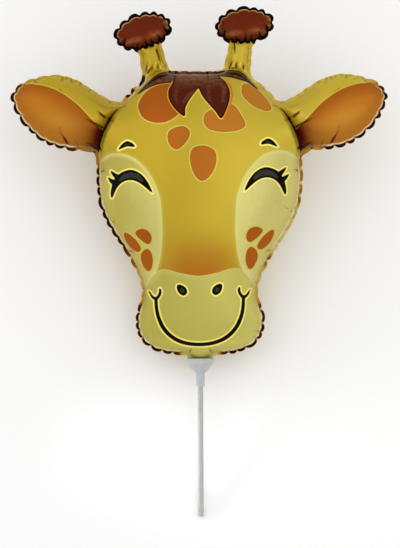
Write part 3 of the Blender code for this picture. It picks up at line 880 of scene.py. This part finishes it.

# Brown knobs, with a black scalloped lower edge over the stems, painted shade in the folds that run up from it
# and painted highlights between them
# where the dark lines of painted shade in the knobs' folds start, across in half axes, and how far they run up
KNOB_FOLDS = ((-0.78, 8.5), (-0.36, 7.0), (-0.02, 9.5), (0.20, 7.5), (0.52, 8.0), (0.80, 10.5))
# painted highlights: tan patches on the knobs' lower halves, where the pleats would reflect light
KNOB_PAINTED_HIGHLIGHTS = (  # across and up in half axes, half width, half height, strength
    (-0.42, -0.40, 0.28, 0.14, 1), (0.38, -0.38, 0.24, 0.14, 0.9), (0.80, -0.02, 0.07, 0.30, 0.9),
    (-0.84, -0.12, 0.06, 0.22, 0.6),
)
KNOB_HALF = (27.0, 16.5)  # millimetres that a knob's half axes stand for in its folds
knob, knob_low, knob_fold_shade = (np.full(len(plan), OUTSIDE) for _ in range(3))
knob_painted_highlight = np.zeros(len(plan))
for (foot, top, (cx, cy), axes, tilt), curve, loop in zip(horns, knob_folds, knob_loops):
    ids = np.flatnonzero((np.abs(x - cx) < 36) & (y > HORN_LINE))
    here = plan[ids]
    around = np.arctan2(y[ids] - cy, x[ids] - cx)
    low = beside(curve[::-1], here) - 2.3 * np.abs(np.sin(8.5 * around + 0.9)) + 0.6
    off_axis, _ = segment_gap(here, foot, top)
    under = (off_axis < 12.0) & (y[ids] < cy)
    knob[ids] = np.maximum(signed(loop, here) - 4.5, np.where(under, low, -OUTSIDE))
    across, height = own_axes(here, (cx, cy), tilt)
    across, height = across / axes[0], height / axes[1]
    knob_low[ids] = height
    wide, tall = KNOB_HALF
    fan = []
    for t, deep in KNOB_FOLDS:
        start = -tall * math.sqrt(1 - t * t)
        fan.append(((t * wide, start), (t * 22, deep + start), (1.7, 0.3)))
    knob_fold_shade[ids] = strokes(np.column_stack([across * wide, height * tall]), fan)
    knob_painted_highlight[ids] = np.maximum(knob_painted_highlight[ids], sum(
        strong * np.exp(-(((across - a) / reach_x) ** 2) - (((height - b) / reach_y) ** 2))
        for a, b, reach_x, reach_y, strong in KNOB_PAINTED_HIGHLIGHTS
    ))

# Painted shade on the stems: brown in the folds at their upper sides and in the gathers at their feet
STEM_FOLD_SHADES = (
    ((-56.8, 274.5), (-55, 270), (-53.6, 264.5), (1, 0.9, 0.2)),
    ((-38.2, 274.5), (-36.6, 270), (-34.5, 264.5), (1, 0.9, 0.2)),
    ((31.6, 281), (31.9, 276.5), (32.6, 270.5), (0.8, 1, 0.2)),
    ((51, 277), (50.5, 272.5), (49.3, 266.5), (0.9, 0.8, 0.2)),
    ((-46.5, 254.2), (-43.3, 258.2), (-42.6, 261.2), (1.1, 0.8, 0.2)),
    ((-37.6, 258.6), (-37.1, 261.2), (-38.2, 263.5), (1, 0.7, 0.2)),
    ((-30.5, 258.6), (-31, 260.4), (-30, 262.4), (0.8, 0.5, 0.2)),
    ((27.5, 259), (29, 262.6), (31.5, 265.2), (1.1, 0.8, 0.2)),
    ((33, 259.4), (33.6, 262.2), (34.8, 264.4), (1.1, 0.8, 0.2)),
    ((39.8, 257.4), (40.3, 260.4), (39, 263.4), (0.9, 0.6, 0.2)),
)
stem_fold_shade = on_front(strokes(plan, STEM_FOLD_SHADES))

# How dark the printed line along the edge is, from film-coloured 0 to black-brown 1
lobe_tone = rng.uniform(0.45, 1.0, len(gaps))
least = np.where(edge_x > 40, 0.6, 0.8)
edge_tone = site_tone * (least + (1 - least) * lobe_tone[before])
# the line runs on from lobe to lobe at the waist, on the right cheek and low on the left one
runs_on = np.maximum(0.9 * left_cheek * smoothstep(140, 128, edge_y), right_low)
runs_on = np.maximum(runs_on, smoothstep(40, 50, edge_y) * smoothstep(88, 76, edge_y))
edge_tone *= 0.25 + 0.75 * np.maximum(smoothstep(0.12, 0.45, np.sin(math.pi * share)), runs_on)
edge_tone *= (1 - 0.42 * right_cheek) * (1 - 0.6 * right_low)
edge_tone = np.where(edge_y > HORN_LINE, site_tone, edge_tone)
dark_edge = edge_tone[edge_at]
dark_edge[behind] *= np.where(knob[behind] < 3, 1.0, 0.45)
# where the painted highlight, a pale line just inside the weld, is shown
painted_edge_highlight_share = smoothstep(0.45, 0.9, site_tone)[edge_at] * is_front
painted_crease_shade = np.concatenate([front["painted_crease_shade"], back["painted_crease_shade"] + 0.5, np.full(2 * FLANGE_ROWS * n, OUTSIDE)])

# Slow changes of the ground colour, and painted light: pale highlight lines, a painted highlight in each ear
# and the right side painted lighter
cheek_top = on_front(smoothstep(150, 172, v) * (0.2 + 0.8 * smoothstep(30, -30, x)), 0.0)
bridge = on_front(smoothstep(128, 70, y) * smoothstep(52, 10, np.abs(u)), 0.0)
# Painted highlights: pale glint lines, each from, to and width
GLINTS = (  # pale lines: between the gathers at the stems' feet, and where the head's edge laps over them
    ((-45.6, 258.6), (-43.6, 262.6), 0.8), ((-40, 259.6), (-38.6, 264.2), 0.8),
    ((-34.4, 259.4), (-33, 262.8), 0.8), ((30.2, 260.6), (31.6, 265), 0.8),
    ((36.8, 260.2), (38, 264.2), 0.8), ((42.6, 258), (43.2, 261.4), 0.6),
    ((-58.4, 238.6), (-48.2, 250.8), 0.7), ((-48.2, 250.8), (-39.6, 257), 0.9),
    ((-39.6, 257), (-28, 258.6), 0.8), ((17, 258.6), (31, 259.4), 0.8),
    ((31, 259.4), (41, 256.2), 0.9), ((41, 256.2), (54, 242.4), 0.7),
)
glints = on_front(nearest_of(stroke(plan, (a, b), (wide, wide * 0.6)) for a, b, wide in GLINTS))
# painted highlight: a lighter patch in the middle of each ear
ear_painted_highlight = np.exp(-(((np.abs(x) - 124) / 24) ** 2) - (((y - 0.35 * (np.abs(x) - 124)) - 208) / 11) ** 2)
# painted light: the film is painted lighter towards the right, as if lit from that side
side_light = smoothstep(-60, 70, x)

for name, values in {
    "spots": spots, "spot_tone": spot_tone, "cheek": cheek, "muzzle": muzzle, "ear_inside": ear_inside,
    "fold_line": fold_line, "ear_root_painted_shade": ear_root_painted_shade, "tuft": tuft, "tuft_top": tuft_top, "tuft_rim": tuft_rim,
    "pleat": pleat, "hair": hair, "strands": strands, "ink": ink, "ink_soft": ink_soft, "knob": knob,
    "knob_low": knob_low, "knob_folds": knob_fold_shade, "stem_fold_shade": stem_fold_shade, "dark_edge": dark_edge,
    "painted_crease_shade": painted_crease_shade, "glints": glints, "bridge": bridge, "ear_painted_highlight": ear_painted_highlight, "side_light": side_light,
    "seam": far, "tuft_notch": notch, "knob_painted_highlight": knob_painted_highlight, "painted_edge_highlight_share": painted_edge_highlight_share, "cheek_top": cheek_top,
}.items():
    layer = balloon.data.attributes.new(name, "FLOAT", "POINT")
    layer.data.foreach_set("value", np.asarray(values, np.float32))


# ---------------------------------------------------------------- materials
def colour(red, green, blue):
    """An sRGB colour of 0 to 255 as linear light."""
    parts = (red / 255, green / 255, blue / 255)
    return tuple(((c + 0.055) / 1.055) ** 2.4 if c > 0.04045 else c / 12.92 for c in parts)


class Nodes:
    """Short names for building one material's node tree."""

    def __init__(self, name):
        self.material = bpy.data.materials.new(name)
        self.material.use_nodes = True
        self.tree = self.material.node_tree
        self.shader = self.tree.nodes["Principled BSDF"]

    def add(self, kind, **settings):
        node = self.tree.nodes.new(kind)
        for key, value in settings.items():
            setattr(node, key, value)
        return node

    def link(self, value, socket):
        """Wires a socket to the input, or sets it: a number, or a colour as three numbers of 0 to 255."""
        if isinstance(value, bpy.types.NodeSocket):
            self.tree.links.new(value, socket)
        elif socket.type == "RGBA":
            socket.default_value = (*colour(*value), 1)
        else:
            socket.default_value = value

    def surface(self, **values):
        """Links the shader's inputs, with _ for each space in their names."""
        for name, value in values.items():
            self.link(value, self.shader.inputs[name.replace("_", " ")])

    def layer(self, name):
        return self.add("ShaderNodeAttribute", attribute_name=name).outputs["Fac"]

    def place(self):
        return self.add("ShaderNodeTexCoord").outputs["Object"]

    def math(self, kind, a, b):
        node = self.add("ShaderNodeMath", operation=kind)
        self.link(a, node.inputs[0])
        self.link(b, node.inputs[1])
        return node.outputs[0]

    def times(self, a, *others):
        for b in others:
            a = self.math("MULTIPLY", a, b)
        return a

    def span(self, value, low, high, out_low=0.0, out_high=1.0):
        """value, or the layer of that name, from low..high to out_low..out_high, held at both ends."""
        node = self.add("ShaderNodeMapRange", clamp=True)
        value = self.layer(value) if isinstance(value, str) else value
        for socket, number in zip(node.inputs[:5], (value, low, high, out_low, out_high)):
            self.link(number, socket)
        return node.outputs[0]

    def noise(self, scale, detail=2.0, roughness=0.5, place=None):
        node = self.add("ShaderNodeTexNoise")
        self.link(self.place() if place is None else place, node.inputs["Vector"])
        for name, value in {"Scale": scale, "Detail": detail, "Roughness": roughness}.items():
            self.link(value, node.inputs[name])
        return node.outputs["Fac"]

    def mix(self, share, a, b):
        node = self.add("ShaderNodeMix", data_type="RGBA", clamp_factor=True)
        self.link(share, node.inputs["Factor"])
        self.link(a, node.inputs[6])
        self.link(b, node.inputs[7])
        return node.outputs[2]

    def bump(self, height, strength, distance, normal=None):
        node = self.add("ShaderNodeBump")
        for name, value in {"Strength": strength, "Distance": distance, "Height": height}.items():
            self.link(value, node.inputs[name])
        if normal is not None:
            self.link(normal, node.inputs["Normal"])
        return node.outputs["Normal"]


CRISP = 0.22  # half the softness of a printed edge, in millimetres


def printed_film():
    """Ink layers over metallised film, from the ground colour up."""
    m = Nodes("printed_film")

    def area(name, grow=0.0, soft=CRISP):
        return m.span(name, grow + soft, grow - soft)

    def ink(share, tone):
        """The next layer: the tone covers what is printed so far by that share."""
        nonlocal ground
        ground = m.mix(share, ground, tone)

    mottle = m.span(m.noise(9.0, 3.0), 0.3, 0.7)
    hatch = m.span(m.noise(240.0, 2.0, 0.6), 0.35, 0.65)
    # painted light: the ground colour is painted lighter towards the right
    side = m.layer("side_light")
    ground = m.mix(side, (190, 162, 47), (205, 182, 63))
    ink(m.times(mottle, 0.35), (182, 152, 44))
    ink(m.span("bridge", 0.0, 0.5), (187, 146, 44))
    ink(m.span("bridge", 0.45, 1.0), (176, 112, 30))
    # cheeks
    cream = m.mix(m.span("cheek", -3.0, -40.0), (211, 202, 119), (192, 176, 84))
    # painted light: the cream is painted lighter towards the right
    cream = m.mix(m.times(side, 0.5), cream, (218, 210, 135))
    cream = m.mix(m.times(m.layer("cheek_top"), 0.75), cream, (182, 164, 76))
    cream = m.mix(m.times(hatch, 0.12), cream, (176, 160, 72))
    ink(m.span("cheek", 3.0, 0.4, 0.0, 0.6), (198, 184, 76))
    ink(area("cheek"), m.mix(m.span("cheek", -0.6, -4.0), (215, 207, 128), cream))
    ink(area("muzzle", 0.55), (214, 203, 108))
    # painted light: the snout is painted lighter towards the right
    snout = m.mix(side, (186, 175, 83), (201, 192, 102))
    ink(area("muzzle"), m.mix(m.span("muzzle", -0.5, -5.0), (196, 188, 98), snout))
    # spots
    ink(area("spots", 1.15), (208, 194, 84))
    spot = m.mix(m.layer("spot_tone"), (170, 88, 24), (194, 127, 42))
    ink(area("spots"), m.mix(m.span("spots", -0.9, -0.2, 0.0, 0.7), spot, (164, 78, 18)))
    # ears
    ink(area("ear_inside", 1.0), (208, 190, 64))
    inner = m.mix(m.span("ear_inside", -0.4, -14.0), (168, 92, 24), (180, 108, 32))
    # painted highlight: lighter orange in the middle of each ear
    inner = m.mix(m.times(m.layer("ear_painted_highlight"), 0.85), inner, (200, 140, 48))
    # painted shade: dark red-brown towards the fold at the ear's root
    ink(area("ear_inside"), m.mix(m.layer("ear_root_painted_shade"), inner, (86, 22, 5)))
    # hair
    ink(area("hair", 0.9), (196, 160, 58))
    lights = m.span(m.noise(330.0, 2.0, 0.7), 0.45, 0.62)
    band = m.mix(m.times(lights, 0.5), (92, 44, 22), (128, 88, 50))
    ink(area("hair"), m.mix(m.span("hair", -0.9, -1.5), (14, 5, 4), band))
    ink(area("tuft_rim"), (196, 126, 46))
    outline = m.mix(area("tuft_notch"), (226, 156, 44), (244, 208, 76))
    ink(m.times(area("tuft", 0.95), m.span("tuft_top", 0.75, 0.55)), outline)
    lock = m.mix(m.span("tuft", -0.9, -1.5), (14, 4, 3), (80, 27, 13))
    lock = m.mix(m.times(area("strands", 0.6, 1.4), m.span(lights, 0.0, 1.0, 0.2, 0.6)), lock, (132, 84, 56))
    top = m.mix(m.times(lights, 0.6), (98, 50, 25), (138, 95, 50))
    lock = m.mix(m.times(m.layer("tuft_top"), m.span("tuft", -0.5, -3.5)), lock, top)
    ink(area("tuft"), lock)
    ink(area("pleat"), (9, 3, 2))
    # stems and knobs
    on_knob = area("knob")
    # painted shade: brown in the stems' folds and gathers
    ink(m.times(area("stem_fold_shade", 0.0, 0.5), 0.85), (96, 48, 10))
    # painted highlights: pale glint lines at the stems' feet and along the head's edge
    ink(m.times(area("glints", -0.1, 0.4), 0.65), (242, 218, 84))
    knob = m.mix(m.span("knob_low", 0.1, -0.2), (102, 36, 16), (102, 38, 17))
    # painted highlights: tan patches on the knobs
    painted_tan_highlight = m.times(m.layer("knob_painted_highlight"), m.span(m.noise(260.0, 3.0, 0.7), 0.35, 0.65, 0.35, 1.0), 0.65)
    knob = m.mix(painted_tan_highlight, knob, (192, 122, 66))
    # painted shade: dark lines in the knobs' folds
    knob = m.mix(area("knob_folds", 0.0, 0.4), knob, (16, 5, 4))
    ink(on_knob, m.mix(m.span("knob", -3.1, -2.5), knob, (10, 4, 4)))
    # black with its pale outline
    ink(area("ink", 1.75), (214, 178, 66))
    ink(area("ink", 1.35), (248, 237, 124))
    ink(area("ink"), m.mix(area("ink_soft", 0.0, 0.3), (6, 5, 7), (52, 50, 45)))
    ink(area("fold_line", 0.0, 0.35), (14, 5, 3))
    # painted shade in the folds of the film, then the printed line along the edge with a painted highlight, a
    # pale line, inside it
    ink(m.times(area("painted_crease_shade", 0.0, 0.45), 0.9), (74, 28, 6))
    tone = m.layer("dark_edge")
    line = m.mix(m.span(tone, 0.1, 0.4), ground, (186, 130, 40))
    line = m.mix(m.span(tone, 0.4, 0.6), line, (104, 52, 18))
    line = m.mix(m.span(tone, 0.6, 0.85), line, m.mix(on_knob, (46, 16, 7), (10, 4, 4)))
    ink(m.span("seam", 0.1, -0.35), line)
    # painted highlight: a pale line just inside the weld
    painted_edge_highlight = m.times(m.span("seam", 1.5, 0.9), m.span("seam", -0.45, 0.0))
    painted_edge_highlight = m.times(painted_edge_highlight, m.span("painted_edge_highlight_share", 0.0, 1.0, 0.2, 0.9))
    ink(m.times(painted_edge_highlight, m.span("knob_low", 59.0, 40.0, 1.0, 0.0)), (244, 236, 184))
    # painted highlight: a gold line just inside the seam of each knob's upper half
    ring = m.times(m.span("seam", 1.5, 1.0), m.span("seam", -0.1, 0.3), m.span("knob_low", -0.2, 0.1))
    ring = m.times(ring, m.span(m.noise(60.0, 2.0), 0.35, 0.6, 0.35, 1.0), on_knob, 0.9)
    ink(ring, (224, 172, 84))
    # dark inks hide more of the metal
    opaque = m.times(m.math("MAXIMUM", area("tuft"), area("hair")), 0.8)
    for other in (area("ink"), area("pleat"), m.times(on_knob, 0.4)):
        opaque = m.math("MAXIMUM", opaque, other)
    m.surface(
        Base_Color=ground, Metallic=m.span(opaque, 0.0, 1.0, 0.62, 0.08), Specular_IOR_Level=0.06,
        Roughness=m.span(m.noise(30.0, 3.0), 0.3, 0.7, 0.34, 0.44),
        Normal=m.bump(m.noise(420.0), 0.05, 0.0004),
    )
    m.shader.inputs["Specular Tint"].default_value = (0.60, 0.56, 0.48, 1)
    return m.material


balloon.data.materials.append(printed_film())

# ---------------------------------------------------------------- cup and stick
def turned(profile, steps, shape):
    """A closed ring section (radius, y) turned about the y axis, as points and faces in the plane.
    shape(angle, radius, y) gives the radius that is really used."""
    angle = np.arange(steps) * 2 * math.pi / steps
    a, r = np.meshgrid(angle, profile[:, 0])
    height = np.repeat(profile[:, 1:2], steps, axis=1)
    r = shape(a, r, height)
    made = np.stack([r * np.cos(a), height, r * np.sin(a)], axis=2).reshape(-1, 3)
    rows = np.arange(len(profile))[:, None] * steps
    below = (rows + steps) % (len(profile) * steps)
    k = np.arange(steps)[None, :]
    after = (k + 1) % steps
    quads = np.stack([rows + k, rows + after, below + after, below + k], axis=2).reshape(-1, 4)
    return made, quads


def rounded(corners, radii, steps=6):
    """The closed line through the corners, with each corner rounded by its radius."""
    corners = np.array(corners, float)
    out = []
    for i, radius in enumerate(radii):
        here, back, ahead = corners[i], corners[i - 1], corners[(i + 1) % len(corners)]
        to_back, to_ahead = back - here, ahead - here
        reach = min(radius, 0.45 * np.linalg.norm(to_back), 0.45 * np.linalg.norm(to_ahead))
        start = here + to_back / np.linalg.norm(to_back) * reach
        end = here + to_ahead / np.linalg.norm(to_ahead) * reach
        for t in np.linspace(0, 1, steps):
            out.append((1 - t) ** 2 * start + 2 * t * (1 - t) * here + t * t * end)
    return np.array(out)


def closer(line, step):
    """More points on a closed line, none further apart than the step."""
    out = []
    for start, end in zip(line, np.roll(line, -1, axis=0)):
        count = max(1, math.ceil(np.linalg.norm(end - start) / step))
        out += [start + (end - start) * t / count for t in range(count)]
    return np.array(out)


CUP_RADIUS, CUP_WALL, RIM_HEIGHT, CONE_HEIGHT = 12.6, 1.0, 3.4, 10.6
SOCKET_RADIUS, SOCKET_BORE, SOCKET_FLOOR, SOCKET_LENGTH, AIR_HOLE = 3.9, 2.7, 1.4, 11.5, 1.2
STICK_RADIUS, STICK_BORE, STICK_TOP, STICK_END = 2.4, 1.7, -18.7, -145.5
cone_end = CUP_TOP - RIM_HEIGHT - CONE_HEIGHT
socket_end = cone_end - SOCKET_LENGTH
CUP_LINE = (
    ((CUP_RADIUS, CUP_TOP), 0.4), ((CUP_RADIUS, CUP_TOP - 1.3), 0.35),
    ((CUP_RADIUS - 0.45, CUP_TOP - 1.6), 0.3), ((CUP_RADIUS - 0.6, CUP_TOP - RIM_HEIGHT), 2.4),
    ((CUP_RADIUS - 4.1, CUP_TOP - 8.6), 3.0),
    ((SOCKET_RADIUS + 0.15, cone_end + 0.5), 1.0), ((SOCKET_RADIUS - 0.35, cone_end - 0.3), 0.25),
    ((SOCKET_RADIUS - 0.35, cone_end - 1.0), 0.25), ((SOCKET_RADIUS, cone_end - 1.4), 0.3),
    ((SOCKET_RADIUS - 0.12, socket_end), 1.0), ((SOCKET_BORE, socket_end), 0.25),
    ((SOCKET_BORE, cone_end - SOCKET_FLOOR), 0.2), ((AIR_HOLE, cone_end - SOCKET_FLOOR), 0.1),
    ((AIR_HOLE, cone_end + CUP_WALL), 0.15), ((SOCKET_BORE, cone_end + CUP_WALL), 0.4),
    ((CUP_RADIUS - CUP_WALL - 0.3, CUP_TOP - RIM_HEIGHT), 1.6), ((CUP_RADIUS - CUP_WALL, CUP_TOP), 0.4),
)


def moulded(angle, radius, height):
    """A parting line down each side, and three flow dimples round the socket."""
    outside = radius > 3.2
    seam = np.exp(-((np.sin(angle - 0.35) * radius / 0.16) ** 2))
    socket = (height < cone_end - 1.4) & (height > socket_end + 1.0) & outside
    flutes = 0.05 * np.cos(6 * angle) * socket
    return radius + outside * 0.09 * seam - flutes


cup_points, cup_faces = turned(closer(rounded(*zip(*CUP_LINE)), 0.45), 144, moulded)
cup = mesh_object("cup_shell", laid(cup_points), cup_faces, "holder_cup")


def drawn(angle, radius, height):
    """Faint lines from the die, and a very slow change of the wall."""
    lines = 0.012 * np.sin(7 * angle + 0.3) + 0.008 * np.sin(17 * angle + 1.1)
    return radius + lines + 0.02 * np.sin(height / 9.0 + angle)


stick_line = rounded(
    ((STICK_RADIUS, STICK_TOP), (STICK_RADIUS, STICK_END), (STICK_BORE, STICK_END), (STICK_BORE, STICK_TOP)),
    (0.15, 0.15, 0.15, 0.15), 3,
)
stick_points, stick_faces = turned(closer(stick_line, 2.2), 56, drawn)
stick = mesh_object("stick_tube", laid(stick_points), stick_faces, "stick")


def moulded_plastic():
    m = Nodes("moulded_plastic")
    cloudy = m.noise(160.0, 3.0)
    m.surface(
        Base_Color=m.mix(m.span(cloudy, 0.3, 0.7), (176, 178, 181), (190, 191, 193)), Specular_IOR_Level=0.45,
        Roughness=m.span(cloudy, 0.3, 0.7, 0.34, 0.46),
        Normal=m.bump(m.noise(1500.0), 0.12, 0.0001, m.bump(cloudy, 0.15, 0.0004)),
    )
    return m.material


def drawn_plastic():
    """Tube plastic with long faint streaks along the stick."""
    m = Nodes("drawn_plastic")
    lay = m.add("ShaderNodeMapping")
    lay.inputs["Rotation"].default_value = (-TILT, 0, 0)
    lay.inputs["Scale"].default_value = (900.0, 6.0, 900.0)
    m.link(m.place(), lay.inputs["Vector"])
    streak = m.noise(1.0, 3.0, 0.5, lay.outputs["Vector"])
    tone = m.mix(m.span(streak, 0.35, 0.65), (170, 170, 170), (186, 186, 184))
    tone = m.mix(m.span(m.noise(60.0, 3.0), 0.35, 0.7, 0.0, 0.35), tone, (166, 166, 167))
    m.surface(
        Base_Color=tone, Roughness=m.span(streak, 0.3, 0.7, 0.3, 0.44), Specular_IOR_Level=0.45,
        Normal=m.bump(streak, 0.12, 0.0002),
    )
    return m.material


cup.data.materials.append(moulded_plastic())
stick.data.materials.append(drawn_plastic())

# ---------------------------------------------------------------- floor, light and camera
def plain(name, colour, roughness):
    made = bpy.data.materials.new(name)
    made.use_nodes = True
    shader = made.node_tree.nodes["Principled BSDF"]
    shader.inputs["Base Color"].default_value = (*colour, 1)
    shader.inputs["Roughness"].default_value = roughness
    return made


floor_mesh = bpy.data.meshes.new("floor")
floor_mesh.from_pydata([(x, y, 0) for x, y in ((-6, -6), (6, -6), (6, 6), (-6, 6))], [], [(0, 1, 2, 3)])
floor = bpy.data.objects.new("floor", floor_mesh)
bpy.context.scene.collection.objects.link(floor)
floor.data.materials.append(plain("pale_floor", (0.96, 0.96, 0.96), 0.7))

# The photograph's frame, seen square to the balloon's plane
PHOTO_WIDTH, PHOTO_HEIGHT, PIXEL = 400, 548, 0.90225
VIEW_DISTANCE = 3.0
VIEW_CENTRE = Vector((0.0, 73.0, 0.0)) * MM
SENSOR = 36
camera_data = bpy.data.cameras.new("camera")
camera_data.sensor_fit = "AUTO"
camera_data.sensor_width = SENSOR
camera_data.lens = SENSOR * (PHOTO_WIDTH / PHOTO_HEIGHT) * VIEW_DISTANCE / (PHOTO_WIDTH * PIXEL * MM)
camera_data.clip_end = 50
camera = bpy.data.objects.new("camera", camera_data)
bpy.context.scene.collection.objects.link(camera)
roll = Matrix.Rotation(math.radians(-0.25), 4, "Z")
camera.matrix_world = plane @ Matrix.Translation(VIEW_CENTRE + Vector((0, 0, VIEW_DISTANCE))) @ roll
bpy.context.scene.camera = camera


def softbox(name, place, target, size, watts, spread=180):
    data = bpy.data.lights.new(name, "AREA")
    data.shape = "RECTANGLE"
    data.size, data.size_y = size
    data.energy = watts
    data.spread = math.radians(spread)
    lamp = bpy.data.objects.new(name, data)
    lamp.location = place
    lamp.rotation_euler = (Vector(target) - Vector(place)).to_track_quat("-Z", "Y").to_euler()
    bpy.context.scene.collection.objects.link(lamp)


softbox("key", (-2.2, 0.8, 1.9), (0, 0, 0), (3.0, 3.2), 11)
softbox("fill", (1.9, -0.3, 2.6), (0, 0, 0), (3.4, 3.6), 13)
softbox("strip", (-0.25, -0.15, 0.08), (0, -0.175, 0.02), (0.08, 0.05), 0.016, 34)
# The surroundings are a little brighter towards the ceiling.
world = bpy.data.worlds.new("studio")
world.use_nodes = True
tree = world.node_tree
direction = tree.nodes.new("ShaderNodeSeparateXYZ")
height = tree.nodes.new("ShaderNodeMapRange")
for name, value in (("From Min", 0.0), ("From Max", 0.75), ("To Min", 0.72), ("To Max", 0.92)):
    height.inputs[name].default_value = value
tree.links.new(tree.nodes.new("ShaderNodeTexCoord").outputs["Generated"], direction.inputs["Vector"])
tree.links.new(direction.outputs["Z"], height.inputs["Value"])
tree.links.new(height.outputs["Result"], tree.nodes["Background"].inputs["Strength"])
tree.nodes["Background"].inputs["Color"].default_value = (1, 1, 1, 1)
bpy.context.scene.world = world
bpy.context.scene.view_settings.view_transform = "Standard"
